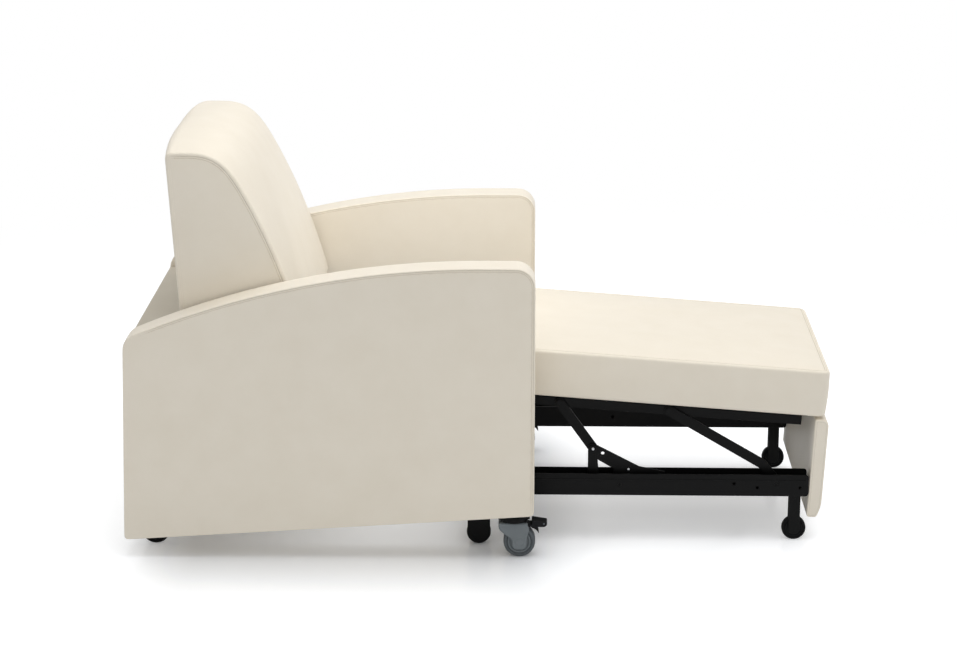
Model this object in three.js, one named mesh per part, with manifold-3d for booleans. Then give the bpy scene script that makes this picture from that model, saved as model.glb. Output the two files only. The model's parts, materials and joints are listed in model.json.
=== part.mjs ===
import * as THREE from 'three';
import { mergeVertices } from 'three/addons/utils/BufferGeometryUtils.js';
import Module from 'manifold-3d';

// Convertible chair bed in millimetres: +X is the way the sitter faces, +Y the sitter's left, +Z up.
// Places are measured from the arms' front face, the middle plane and the floor.
// The seat carriage is drawn pulled out and the back upright.

// Overall and running fits
const overallWidth = 800;
const seatGap = 0.3; // between faces that touch
const pinClearance = 0.4; // round a pin in its hole
const cutOverrun = 4; // cuts run past the face they open

// Arm panels
const armThickness = 76;
const armDepth = 902; // at the bottom
const armTopHeight = 661; // at the crest
const armTopRadius = 1960;
const armCrestSetback = 110; // crest behind the front face
const armRearRake = 18; // rear edge leans forward by this at its top
const armFrontClearance = 102;
const armRearClearance = 41;
const armFrontRadius = 42;
const armRearRadius = 24;
const armFootRadius = 9;
const armEdgeRadius = 7; // padding rolled over the panel's edges

// Rear panel between the arms
const rearPanelThickness = 28;
const rearPanelTop = 476;
const rearPanelFoot = 76; // clear of the rear wheels
const rearPanelEdgeRadius = 8;

// Cross tubes that join the arms behind the carriage
const crossTubeSize = 25;
const crossTubeWall = 2;
const crossTubeSetIn = 56; // ahead of the arms' rear at the floor
const lowerTubeHeight = 92;
const upperTubeHeight = 415;

// Front casters
const casterSetback = 44; // swivel axis behind the arm fronts
const casterTrail = 12;
const casterWheelDiameter = 70;
const casterWheelWidth = 32;
const casterWheelGap = 1.5;
const casterAxleRadius = 4;
const mountLength = 70;
const mountWidth = 54;
const mountBottom = 92; // clear of the lifted pedal
const mountCorner = 2;
const bearingRadius = 30;
const bearingBottom = 82;
const hoodTop = 80;
const hoodSkirt = 66; // height of the skirt's rear edge
const hoodNeck = 52; // height at which the skirt runs into the cheek's tongue
const hoodRear = 34; // behind the swivel axis
const hoodFront = 30;
const hoodBrow = 4; // how far the cheek's front edge stands ahead of the hood's top
const hoodCheek = 4;
const hoodWall = 3;
const hoodTongueRadius = 16; // round the axle
const hoodTopCorner = 3;
const hoodCorner = 8;
const hoodEdge = 2;
const pinSetIn = 2; // pins and axles end short of the outer faces
const stemRadius = 9;
const stemBoss = 7;
const pedalReach = 43; // ahead of the hood's top
const pedalNeckRadius = 5.5;
const pedalRise = 11; // top of the tread plate above the pin
const pedalDrop = 6; // underside of the tread plate below the pin
const pedalGap = 9; // open between the hood's top and the tread plate
const pedalTipDrop = 5;
const pedalWidth = 28;
const pedalPinRadius = 3;
const pedalPinHeight = 75;
const pedalPinInset = 4; // pin behind the front of the hood's top
const pedalCorner = 3;
const pedalEdge = 1.5;
const hookWidth = 10;
const hookReach = 11;
const hookDrop = 18;
const hookThickness = 5;
const hookLead = 14; // ahead of the hood's top

// Fixed wheels at the rear
const rearWheelDiameter = 64;
const rearWheelWidth = 20;
const rearWheelSetIn = 24; // from the arm's inner face
const forkPlate = 3;
const forkWidth = 30;
const forkSideGap = 1.5;
const axleRadius = 4;

// Carriage that slides out of the chair
const railSideGap = 53; // rail to the arm's inner face
const railWidth = 48;
const railHeight = 50;
const railWall = 3;
const railBottom = 108;
const railRear = 152; // rear end behind the arm fronts, pulled out
const railFrontSetIn = 39.5; // behind the cushion's front
const railHoleRadius = 3.5;
const railEndRadius = 8;
const spareHoles = [[166, 29], [114, 20], [19, 20]]; // behind the rail's front and above its bottom
const carriageTubeHeight = 30;
const carriageTubeDepth = 20;

// Carriage legs and wheels
const legWheelDiameter = 54;
const legWheelWidth = 18;
const frontLegSetIn = 28; // behind the rail's front
const frontLegWidth = 25;
const rearLegSetback = 123;
const rearLegWidth = 50;
const rearLegSetIn = 37; // from the arm's inner face
const rearHoodTop = 66;

// Guide rollers and their channels inside the arms
const rollerRadius = 14;
const rollerWidth = 14;
const rollerHeight = 140;
const rollerStudRadius = 5;
const rollerPlay = 0.8;
const guideWall = 3;
const guideDepth = 22;
const guideFront = 30;
const guideRearGap = 100; // ahead of the arms' rear at the floor
const rollerMargin = 4; // roller to the web

// Front board of the carriage
const fasciaHeight = 229;
const fasciaThickness = 31;
const fasciaBottom = 59;
const fasciaLean = 3; // degrees, top forward
const fasciaChamfer = 9;
const fasciaEdgeRadius = 4;
const fasciaCornerRadius = 6;

// Seat on its four links
const seatSlope = 4.2; // degrees, front down
const seatSideGap = 53; // cushion to the arm's inner face
const seatDepth = 692;
const seatThickness = 105;
const seatReach = 589; // front of the cushion ahead of the rear seat pivots
const seatCrown = 7;
const seatDrawIn = 3;
const seatCornerRadius = 14;
const seatTopRadius = 22.4;
const seatEdgeRadius = 7;
const boardThickness = 9;
const boardInset = 12; // at the front and rear
const boardSideInset = 32; // clear of the links' ends
const seatTubeSize = 20;
const seatTubeWall = 2;
const seatTubeSetIn = 40; // rail centre from the carriage's outer face
const seatTubeFrontSetIn = 49; // from the cushion's front
const seatTubeRearSetIn = 19; // from the cushion's rear
const seatCrossFrontSetIn = 119;
const seatCrossRearSetIn = 43;

// Link pivots: the fixed ones on the carriage, the others on the seat's frame
const rearPivotForward = 131;
const rearPivotHeight = 211;
const rearSeatPivotForward = 56;
const rearSeatPivotHeight = 316;
const frontPivotForward = 540;
const frontPivotHeight = 138;
const frontSeatPivotForward = 300; // of the front links at rest
const linkWidth = 22;
const linkThickness = 5;
const linkSetIn = 26.7; // link plate centre from the carriage's outer face
const linkBendShare = 1.3; // how far the front link's bend lies off its line, in half widths
const linkNeckShare = 0.6;
const pinRadius = 5;
const rivetRadius = 8;
const rivetHeight = 3;
const lugHoleRadius = 7.5; // round the open pivot of the front links

// Pivot bracket on each rail
const bracketThickness = 5;
const bracketFootFront = 292;
const bracketFootBack = 120;
const bracketArmWidth = 26;
const bracketWindowFront = 178;
const bracketHoleRadius = 4;
const bracketWindowLean = 4;

// Back
const backSideGap = 14; // to the arm's inner face
const backPivotSetIn = 212; // this and the next four are ahead of the arms' rear at the floor
const backFootFrontSetIn = 399; // lower front edge
const backFootRearSetIn = 130;
const backHeadFrontSetIn = 238; // top of the front face
const backHeadRearSetIn = 104;
const backPivotHeight = 500;
const backBottom = 470;
const backTop = 883;
const backHeadTurn = 858; // top of the front face
const backCrown = 9;
const backTopRadius = 16;
const backFootRadius = 14;
const backEdgeRadius = 7;
const backBellyShare = 0.32; // how far up the front the lumbar swell holds
const backBellyForward = 26;
const hingePlateThickness = 4;
const hingePlateHeight = 58;
const hingePlateLength = 170;
const hingeStudRadius = 8;
const socketRadius = 22;
const socketThickness = 7;

// Finishes
const vinyl = { color: 0xf3ecdf, roughness: 0.55, metalness: 0 };
const powderCoat = { color: 0x161616, roughness: 0.5, metalness: 0.2 };
const greyNylon = { color: 0x5f6466, roughness: 0.6, metalness: 0 };
const blackNylon = { color: 0x1b1c1d, roughness: 0.55, metalness: 0 };
const greyTread = { color: 0x3c3f41, roughness: 0.75, metalness: 0 };
const blackTread = { color: 0x121212, roughness: 0.8, metalness: 0 };
const plywood = { color: 0x2a2622, roughness: 0.8, metalness: 0 };

// Round-piece facets
const wheelSides = 22;
const smallSides = 12;
const arcSteps = 4;

// Derived sizes
const halfWidth = overallWidth / 2;
const armInner = halfWidth - armThickness;
const armMiddle = halfWidth - armThickness / 2;
const crossTubeSetback = armDepth - crossTubeSetIn;
const rearWheelOffset = armInner - rearWheelSetIn;
const railOuter = armInner - railSideGap;
const railInner = railOuter - railWidth;
const railMiddle = railOuter - railWidth / 2;
const railTop = railBottom + railHeight;
const rearLegOffset = armInner - rearLegSetIn;
const guideRear = armDepth - guideRearGap;
const seatHalf = armInner - seatSideGap;
const seatTubeOffset = railOuter - seatTubeSetIn;
const linkOffset = railOuter - linkSetIn;
const backHalf = armInner - backSideGap;
const backPivotSetback = armDepth - backPivotSetIn;
const backFootFront = armDepth - backFootFrontSetIn;
const backFootRear = armDepth - backFootRearSetIn;
const backHeadFront = armDepth - backHeadFrontSetIn;
const backHeadRear = armDepth - backHeadRearSetIn;
const seatSlopeAngle = THREE.MathUtils.degToRad(seatSlope);
const fasciaLeanAngle = THREE.MathUtils.degToRad(fasciaLean);
const cushionBottom = seatTubeSize / 2 + boardThickness + 2 * seatGap;
const cushionTop = cushionBottom + seatThickness;
const seatNose = rearSeatPivotForward + seatReach * Math.cos(seatSlopeAngle)
  + (cushionTop - seatCornerRadius) * Math.sin(seatSlopeAngle);
const railFront = seatNose - railFrontSetIn;
const frontLegForward = railFront - frontLegSetIn;
const seatRear = seatReach - seatDepth; // behind the rear seat pivots
const frontSeatPivotHeight = rearSeatPivotHeight
  - (frontSeatPivotForward - rearSeatPivotForward) * Math.tan(seatSlopeAngle);
const originShift = (armDepth - seatNose) / 2; // puts the origin under the middle of the length

const wasm = await Module();
wasm.setup();

// Turns a closed geometry into a solid that can be cut and joined.
function solidOf(geometry) {
  const bare = geometry.clone();
  bare.deleteAttribute('normal');
  bare.deleteAttribute('uv');
  const merged = mergeVertices(bare);
  return new wasm.Manifold(new wasm.Mesh({
    numProp: 3,
    vertProperties: new Float32Array(merged.attributes.position.array),
    triVerts: new Uint32Array(merged.index.array),
  }));
}

// Turns a solid back into a geometry.
function geometryOf(solid) {
  const mesh = solid.getMesh();
  const geometry = new THREE.BufferGeometry();
  geometry.setAttribute('position', new THREE.BufferAttribute(new Float32Array(mesh.vertProperties), 3));
  geometry.setIndex(new THREE.BufferAttribute(new Uint32Array(mesh.triVerts), 1));
  return geometry;
}

// Joins the geometries and then cuts the tools out of them.
function carve(bodies, tools = []) {
  let solid = solidOf(bodies[0]);
  for (const body of bodies.slice(1)) solid = solid.add(solidOf(body));
  for (const tool of tools) solid = solid.subtract(solidOf(tool));
  return geometryOf(solid);
}

// Adds one named mesh to a group.
function addPiece(group, name, geometry, finish) {
  const mesh = new THREE.Mesh(geometry, new THREE.MeshStandardMaterial(finish));
  mesh.name = name;
  group.add(mesh);
  return mesh;
}

// The low and high Y of a band that lies between two distances on one side of the middle plane.
function band(side, inner, outer) {
  return side > 0 ? [inner, outer] : [-outer, -inner];
}

// An outline drawn in X and Z, given a thickness along Y.
function plateBetween(shape, low, high, bevel = 0, segments = 2) {
  const geometry = new THREE.ExtrudeGeometry(shape, {
    depth: high - low - 2 * bevel,
    bevelEnabled: bevel > 0,
    bevelThickness: bevel,
    bevelSize: bevel,
    bevelOffset: -bevel,
    bevelSegments: segments,
    curveSegments: arcSteps,
  });
  geometry.rotateX(Math.PI / 2);
  geometry.translate(0, high - bevel, 0);
  return geometry;
}

// A round bar along Y.
function rodBetween(radius, low, high, x, z, sides = smallSides) {
  const geometry = new THREE.CylinderGeometry(radius, radius, high - low, sides);
  geometry.translate(x, (low + high) / 2, z);
  return geometry;
}

// A block given by its low and high corners.
function block(lowX, highX, lowY, highY, lowZ, highZ) {
  const geometry = new THREE.BoxGeometry(highX - lowX, highY - lowY, highZ - lowZ);
  geometry.translate((lowX + highX) / 2, (lowY + highY) / 2, (lowZ + highZ) / 2);
  return geometry;
}

// A closed outline through points, each corner turned with its own radius.
function roundedOutline(corners) {
  const shape = new THREE.Shape();
  corners.forEach(([x, z, radius], i) => {
    const here = new THREE.Vector2(x, z);
    const before = corners[(i + corners.length - 1) % corners.length];
    const after = corners[(i + 1) % corners.length];
    const toBefore = new THREE.Vector2(before[0], before[1]).sub(here);
    const toAfter = new THREE.Vector2(after[0], after[1]).sub(here);
    const turn = Math.min(radius, toBefore.length() / 2, toAfter.length() / 2);
    const start = here.clone().add(toBefore.setLength(turn));
    const end = here.clone().add(toAfter.setLength(turn));
    if (i === 0) shape.moveTo(start.x, start.y);
    else shape.lineTo(start.x, start.y);
    if (turn > 0) shape.quadraticCurveTo(x, z, end.x, end.y);
  });
  shape.closePath();
  return shape;
}

// A bar with round ends between two pivots.
function linkOutline(from, to, width) {
  const angle = Math.atan2(to.y - from.y, to.x - from.x);
  const shape = new THREE.Shape();
  shape.absarc(from.x, from.y, width / 2, angle + Math.PI / 2, angle + 3 * Math.PI / 2, false);
  shape.absarc(to.x, to.y, width / 2, angle - Math.PI / 2, angle + Math.PI / 2, false);
  shape.closePath();
  return shape;
}

// A square tube along Y.
function squareTube(size, wall, half, x, z, depth = size) {
  const turn = 1.5 * wall;
  const outline = roundedOutline([
    [x - depth / 2, z - size / 2, turn], [x + depth / 2, z - size / 2, turn],
    [x + depth / 2, z + size / 2, turn], [x - depth / 2, z + size / 2, turn],
  ]);
  const bore = new THREE.Path();
  bore.moveTo(x - depth / 2 + wall, z - size / 2 + wall);
  bore.lineTo(x - depth / 2 + wall, z + size / 2 - wall);
  bore.lineTo(x + depth / 2 - wall, z + size / 2 - wall);
  bore.lineTo(x + depth / 2 - wall, z - size / 2 + wall);
  bore.closePath();
  outline.holes.push(bore);
  return plateBetween(outline, -half, half);
}

// A wheel about Y with a bore, rounded tread and a dished hub on both faces.
function wheelGeometry(diameter, width, bore, sides = wheelSides) {
  const radius = diameter / 2;
  const half = width / 2;
  const shoulder = Math.min(half, radius / 4) / 2;
  const hub = radius / 2.4;
  const dish = width / 8;
  const rim = radius - 1.8 * shoulder;
  const profile = [
    [bore, -half], [hub, -half], [hub + dish, -half + dish], [rim - dish, -half + dish], [rim, -half],
    [radius, -half + shoulder], [radius, half - shoulder], [rim, half], [rim - dish, half - dish],
    [hub + dish, half - dish], [hub, half], [bore, half], [bore, -half],
  ].map(([r, y]) => new THREE.Vector2(r, y));
  return new THREE.LatheGeometry(profile, sides);
}

// A padded form swept across the width. The outline runs round the side view against the clock.
// Each ring is the outline moved in near the sides, to roll the edge, and out in the middle, as a crown.
function paddedForm(outline, half, edge, crownAt, drawInAt) {
  const count = outline.length;
  const normals = outline.map((point, i) => {
    const along = outline[(i + 1) % count].clone().sub(outline[(i + count - 1) % count]).normalize();
    return new THREE.Vector2(along.y, -along.x);
  });
  const rings = [];
  const edgeRings = 3;
  const middleRings = 9;
  const stations = [];
  for (let i = 0; i <= edgeRings; i += 1) {
    const turn = (i / edgeRings) * (Math.PI / 2);
    stations.push({ inset: edge * (1 - Math.sin(turn)), across: -half + edge * (1 - Math.cos(turn)) });
  }
  for (let i = 1; i < middleRings; i += 1) {
    stations.push({ inset: 0, across: (-half + edge) * (1 - (2 * i) / middleRings) });
  }
  for (let i = edgeRings; i >= 0; i -= 1) {
    const mirrored = stations[i];
    stations.push({ inset: mirrored.inset, across: -mirrored.across });
  }
  for (const { inset, across } of stations) {
    const share = across / half;
    rings.push(outline.map((point, i) => {
      const out = crownAt(point, normals[i]) * (1 - share * share) - inset;
      const place = point.clone().addScaledVector(normals[i], out);
      const drawIn = Math.sign(across) * drawInAt(point) * share * share;
      return new THREE.Vector3(place.x, across - drawIn, place.y);
    }));
  }
  const positions = rings.flat().flatMap((p) => [p.x, p.y, p.z]);
  const indices = [];
  for (let r = 0; r + 1 < rings.length; r += 1) {
    for (let i = 0; i < count; i += 1) {
      const a = r * count + i;
      const b = r * count + ((i + 1) % count);
      indices.push(a, a + count, b, b, a + count, b + count);
    }
  }
  const flat = outline.map((point, i) => point.clone().addScaledVector(normals[i], -edge));
  const cap = THREE.ShapeUtils.triangulateShape(flat, []);
  const last = (rings.length - 1) * count;
  for (const [a, b, c] of cap) {
    indices.push(a, b, c);
    indices.push(last + a, last + c, last + b);
  }
  const geometry = new THREE.BufferGeometry();
  geometry.setAttribute('position', new THREE.Float32BufferAttribute(positions, 3));
  geometry.setIndex(indices);
  return geometry;
}

// Height of the arm's underside at a distance behind its front face.
function armUnderside(setback) {
  return armFrontClearance - ((armFrontClearance - armRearClearance) * setback) / armDepth;
}

// How far the arm's rear edge lies behind the front face at a height.
function armRearAt(height) {
  return armDepth - (armRearRake * (height - armRearClearance)) / (armTopHeight - armRearClearance);
}

// Side view of an arm: sloping underside, raked rear edge and a long shallow arc along the top.
function armOutline() {
  const arcCentre = armTopHeight - armTopRadius;
  const topAt = (setback) => arcCentre + Math.sqrt(armTopRadius ** 2 - (setback - armCrestSetback) ** 2);
  const rearCorner = armRearAt(topAt(armDepth));
  const shape = new THREE.Shape();
  shape.moveTo(-armDepth + armFootRadius, armUnderside(armDepth - armFootRadius));
  shape.lineTo(-armFootRadius, armUnderside(armFootRadius));
  shape.quadraticCurveTo(0, armUnderside(0), 0, armUnderside(0) + armFootRadius);
  shape.lineTo(0, armTopHeight - armFrontRadius);
  shape.absarc(-armFrontRadius, armTopHeight - armFrontRadius, armFrontRadius, 0, Math.PI / 2, false);
  const start = Math.PI / 2;
  const end = start + Math.asin((rearCorner - armRearRadius - armCrestSetback) / armTopRadius);
  const steps = 12;
  for (let i = 0; i <= steps; i += 1) {
    const angle = start + ((end - start) * i) / steps;
    const along = -armCrestSetback + armTopRadius * Math.cos(angle);
    shape.lineTo(along, arcCentre + armTopRadius * Math.sin(angle));
  }
  const turnHeight = topAt(rearCorner) - armRearRadius;
  shape.quadraticCurveTo(-rearCorner, topAt(rearCorner), -armRearAt(turnHeight), turnHeight);
  shape.lineTo(-armRearAt(armRearClearance + armFootRadius), armRearClearance + armFootRadius);
  shape.closePath();
  return shape;
}

// One upholstered arm panel.
function armPanel(side) {
  const [low, high] = band(side, armInner, halfWidth);
  return plateBetween(armOutline(), low, high, armEdgeRadius, 3);
}

// The upholstered panel that closes the rear between the arms.
function rearPanel() {
  const foot = rearPanelFoot;
  const outline = roundedOutline([
    [-armRearAt(foot), foot, rearPanelEdgeRadius],
    [-armRearAt(foot) + rearPanelThickness, foot, rearPanelEdgeRadius],
    [-armRearAt(rearPanelTop) + rearPanelThickness, rearPanelTop, rearPanelThickness / 2],
    [-armRearAt(rearPanelTop), rearPanelTop, rearPanelThickness / 2],
  ]);
  return plateBetween(outline, -armInner + seatGap, armInner - seatGap);
}

// Channel on the arm's inner face in which the carriage's roller runs.
function guideChannel(side) {
  const half = rollerRadius + rollerPlay;
  const [low, high] = band(side, armInner - seatGap - guideDepth, armInner - seatGap);
  const [cutLow, cutHigh] = band(side, armInner - guideDepth - cutOverrun, armInner - seatGap - guideWall);
  const outer = half + guideWall;
  const bar = block(-guideRear, -guideFront, low, high, rollerHeight - outer, rollerHeight + outer);
  const groove = block(-guideRear - cutOverrun, -guideFront + cutOverrun, cutLow, cutHigh,
    rollerHeight - half, rollerHeight + half);
  return carve([bar], [groove]);
}

// Plate that carries a front caster, wedge shaped under the sloping arm, with a round bearing and stem.
function casterMount(side) {
  const back = casterSetback + mountLength / 2;
  const front = casterSetback - mountLength / 2;
  const outline = roundedOutline([
    [-back, mountBottom, mountCorner], [-front, mountBottom, mountCorner],
    [-front, armUnderside(front) - seatGap, 0], [-back, armUnderside(back) - seatGap, 0],
  ]);
  const [low, high] = band(side, armMiddle - mountWidth / 2, armMiddle + mountWidth / 2);
  const plate = plateBetween(outline, low, high);
  const rounds = [
    [bearingRadius, bearingBottom, mountBottom + mountCorner, wheelSides],
    [stemRadius, bearingBottom - stemBoss, mountBottom, smallSides],
  ].map(([radius, foot, top, sides]) => {
    const round = new THREE.CylinderGeometry(radius, radius, top - foot, sides);
    round.rotateX(Math.PI / 2);
    round.translate(-casterSetback, side * armMiddle, (foot + top) / 2);
    return round;
  });
  return carve([plate, ...rounds]);
}

// Side view of a caster's hood: a skirt over the wheel that runs down into a tongue round the axle.
function hoodOutline() {
  const radius = casterWheelDiameter / 2;
  const front = hoodFront + hoodBrow;
  return roundedOutline([
    [-hoodRear, hoodTop, hoodTopCorner],
    [-hoodRear, hoodSkirt, hoodCorner],
    [(casterTrail - hoodTongueRadius - hoodRear) / 2, hoodNeck, hoodCorner],
    [casterTrail - hoodTongueRadius, (radius + hoodNeck) / 2, hoodCorner],
    [casterTrail - hoodTongueRadius, radius - hoodTongueRadius, hoodTongueRadius],
    [casterTrail + hoodTongueRadius, radius - hoodTongueRadius, hoodTongueRadius],
    [casterTrail + hoodTongueRadius, (radius + hoodNeck) / 2, hoodCorner],
    [front, hoodSkirt, hoodCorner],
    [hoodFront, pedalPinHeight, hoodTopCorner],
    [hoodFront, hoodTop, hoodTopCorner],
  ]);
}

// Swivelling hood of a caster in its own frame: the swivel axis is Z, the floor is zero.
function casterHood() {
  const radius = casterWheelDiameter / 2;
  const roomHalf = casterWheelWidth / 2 + casterWheelGap;
  const half = roomHalf + hoodCheek;
  const wheelRoom = rodBetween(radius + hoodWall, -roomHalf, roomHalf, casterTrail, radius, wheelSides);
  const belowRoom = block(-hoodRear - cutOverrun, hoodFront + hoodBrow + cutOverrun,
    -roomHalf, roomHalf, 0, radius);
  const stemHole = new THREE.CylinderGeometry(stemRadius + pinClearance, stemRadius + pinClearance,
    stemBoss + cutOverrun, smallSides);
  stemHole.rotateX(Math.PI / 2);
  stemHole.translate(0, 0, bearingBottom - stemBoss / 2 - pinClearance + cutOverrun / 2);
  const slotHalf = pedalWidth / 2 + pinClearance;
  const slot = block(hoodFront - 2 * pedalPinInset - pedalNeckRadius, hoodFront + hoodBrow + cutOverrun,
    -slotHalf, slotHalf, 0, hoodTop + cutOverrun);
  const pinHalf = half - pinSetIn;
  const shell = carve([plateBetween(hoodOutline(), -half, half, hoodEdge, 1)],
    [wheelRoom, belowRoom, stemHole, slot]);
  return carve([
    shell,
    rodBetween(casterAxleRadius, -pinHalf, pinHalf, casterTrail, radius),
    rodBetween(pedalPinRadius, -pinHalf, pinHalf, hoodFront - pedalPinInset, pedalPinHeight),
  ]);
}

// Foot pedal of the caster brake: a neck on the hood's pin and a tread plate ahead of it.
function brakePedal() {
  const pin = hoodFront - pedalPinInset;
  const plate = hoodFront + pedalGap;
  const tip = hoodFront + pedalReach;
  const top = pedalPinHeight + pedalRise;
  const bottom = pedalPinHeight - pedalDrop;
  const shape = roundedOutline([
    [pin - pedalNeckRadius, pedalPinHeight - pedalNeckRadius, pedalCorner],
    [plate, bottom, pedalCorner],
    [tip - pedalTipDrop, bottom, pedalCorner],
    [tip, bottom + pedalTipDrop, pedalCorner],
    [tip, top - pedalTipDrop, pedalCorner],
    [plate, top, pedalCorner],
    [plate, pedalPinHeight, pedalCorner],
    [pin + pedalNeckRadius, pedalPinHeight + pedalCorner / 2, pedalCorner],
    [pin, pedalPinHeight + pedalNeckRadius, pedalCorner],
    [pin - pedalNeckRadius, pedalPinHeight + pedalNeckRadius, pedalCorner],
  ]);
  const bore = rodBetween(pedalPinRadius + pinClearance, -pedalWidth, pedalWidth, pin, pedalPinHeight);
  return carve([plateBetween(shape, -pedalWidth / 2, pedalWidth / 2, pedalEdge, 1)], [bore]);
}

// Curved claw under the pedal that the foot lifts to free the brake.
function brakeHook() {
  const root = hoodFront + hookLead;
  const top = pedalPinHeight - pedalDrop - seatGap;
  const tip = new THREE.Vector2(root + hookReach, top - hookDrop);
  const shape = new THREE.Shape();
  shape.moveTo(root - hookThickness, top - hookThickness / 3);
  shape.lineTo(root - hookThickness, top - hookThickness);
  shape.quadraticCurveTo(root + hookReach / 2, top - 1.2 * hookThickness, tip.x, tip.y);
  shape.quadraticCurveTo(tip.x, top - hookThickness / 2, root + hookReach / 2, top);
  shape.lineTo(root, top);
  shape.closePath();
  return plateBetween(shape, -hookWidth / 2, hookWidth / 2);
}

// Fork with two cheeks, a bridge over the wheel and an axle, about a wheel centre.
function forkGeometry({ width, wheel, wheelWidth, top, axle = axleRadius }) {
  const inner = wheelWidth / 2 + forkSideGap;
  const outer = inner + forkPlate;
  const centre = wheel / 2;
  const cheek = (low, high) => {
    const shape = new THREE.Shape();
    shape.absarc(0, centre, width / 2, Math.PI, 2 * Math.PI, false);
    shape.lineTo(width / 2, top);
    shape.lineTo(-width / 2, top);
    shape.closePath();
    return plateBetween(shape, low, high);
  };
  return carve([
    block(-width / 2, width / 2, -outer, outer, top - forkPlate, top),
    cheek(-outer, -inner), cheek(inner, outer),
    rodBetween(axle, -inner - forkPlate / 2, inner + forkPlate / 2, 0, centre),
  ]);
}

// Rear leg of the carriage: a hooded fork with a tall cheek on the rail and a stud for the guide roller.
function rearLeg(side) {
  const inner = legWheelWidth / 2 + forkSideGap;
  const centre = legWheelDiameter / 2;
  const toRail = rearLegOffset - railOuter - seatGap;
  const [cheekLow, cheekHigh] = band(-side, toRail - forkPlate, toRail);
  const tall = new THREE.Shape();
  tall.absarc(0, centre, rearLegWidth / 2, Math.PI, 2 * Math.PI, false);
  tall.lineTo(rearLegWidth / 2, railTop - forkPlate);
  tall.lineTo(-rearLegWidth / 2, railTop - forkPlate);
  tall.closePath();
  const low = new THREE.Shape();
  low.absarc(0, centre, rearLegWidth / 2, Math.PI, 2 * Math.PI, false);
  low.lineTo(rearLegWidth / 2, rearHoodTop);
  low.lineTo(-rearLegWidth / 2, rearHoodTop);
  low.closePath();
  const [outLow, outHigh] = band(side, inner, inner + forkPlate);
  const [bridgeLow, bridgeHigh] = side > 0 ? [-toRail, inner + forkPlate] : [-inner - forkPlate, toRail];
  const studEnd = armInner - seatGap - guideWall - rollerMargin / 2 - rearLegOffset;
  const [studLow, studHigh] = side > 0 ? [-toRail, studEnd] : [-studEnd, toRail];
  return carve([
    plateBetween(tall, cheekLow, cheekHigh),
    plateBetween(low, outLow, outHigh),
    block(-rearLegWidth / 2, rearLegWidth / 2, bridgeLow, bridgeHigh, rearHoodTop - forkPlate, rearHoodTop),
    rodBetween(axleRadius, Math.min(bridgeLow, outLow), Math.max(bridgeHigh, outHigh), 0, centre),
    rodBetween(rollerStudRadius, studLow, studHigh, 0, rollerHeight),
  ]);
}

// U-channel rail of the carriage, open at the top, with its holes and rounded front corners.
function carriageRail(side) {
  const profile = roundedOutline([
    [-railRear, railBottom, 0], [railFront, railBottom, railEndRadius],
    [railFront, railTop, railEndRadius], [-railRear, railTop, 0],
  ]);
  const [low, high] = band(side, railInner, railOuter);
  const [grooveLow, grooveHigh] = band(side, railInner + railWall, railOuter - railWall);
  const groove = block(-railRear - cutOverrun, railFront + cutOverrun, grooveLow, grooveHigh,
    railBottom + railWall, railTop + cutOverrun);
  const holes = railHoles().map(([x, z, radius]) => (
    rodBetween(radius, low - cutOverrun, high + cutOverrun, x, z)));
  return carve([plateBetween(profile, low, high)], [groove, ...holes]);
}

// Places and radii of the holes across a rail: pivot pin, bracket bolts and spare holes.
function railHoles() {
  return [
    [frontPivotForward, frontPivotHeight, pinRadius + pinClearance],
    [bracketBolt().x, bracketBolt().y, railHoleRadius + pinClearance],
    ...spareHoles.map(([setIn, rise]) => [railFront - setIn, railBottom + rise, railHoleRadius]),
  ];
}

// Place of the bolt that holds the pivot bracket in the rail.
function bracketBolt() {
  const footMiddle = (bracketFootBack + bracketFootFront) / 2;
  return new THREE.Vector2(footMiddle - bracketFootBack / 8, railBottom + railHeight / 2);
}

// Three-cornered bracket that stands in the rail and carries the rear link's lower pivot.
function pivotBracket(side) {
  const foot = railBottom + railWall + seatGap;
  const reach = linkWidth / 2;
  const shape = new THREE.Shape();
  shape.moveTo(bracketFootBack, foot);
  shape.lineTo(bracketFootFront, foot);
  shape.lineTo(bracketFootFront, railTop);
  shape.lineTo((bracketFootFront + bracketWindowFront) / 2, railTop + reach);
  shape.lineTo(rearPivotForward + reach * 0.6, rearPivotHeight + reach * 0.8);
  shape.absarc(rearPivotForward, rearPivotHeight, reach, Math.PI / 3, Math.PI, false);
  shape.closePath();
  const window = new THREE.Path();
  const left = bracketFootBack + bracketArmWidth;
  window.moveTo(left, foot + bracketArmWidth);
  window.lineTo(left - bracketWindowLean, rearPivotHeight - bracketArmWidth);
  window.lineTo(bracketWindowFront, railTop + reach / 2);
  window.lineTo(bracketWindowFront, foot + bracketArmWidth);
  window.closePath();
  shape.holes.push(window);
  const inner = linkOffset + linkThickness / 2 + seatGap;
  const outer = inner + bracketThickness;
  const [low, high] = band(side, inner, outer);
  const [boltLow, boltHigh] = band(side, inner, railOuter - railWall / 4);
  const bolt = bracketBolt();
  const tools = [
    [pinRadius + pinClearance, rearPivotForward, rearPivotHeight],
    [bracketHoleRadius, rearPivotForward + linkWidth, rearPivotHeight - linkWidth / 2],
    [bracketHoleRadius, bracketWindowFront + linkWidth * 1.5, railTop + bracketHoleRadius],
  ].map(([radius, x, z]) => rodBetween(radius, low - cutOverrun, high + cutOverrun, x, z));
  return carve([
    plateBetween(shape, low, high),
    rodBetween(railHoleRadius, boltLow, boltHigh, bolt.x, bolt.y),
  ], tools);
}

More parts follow.
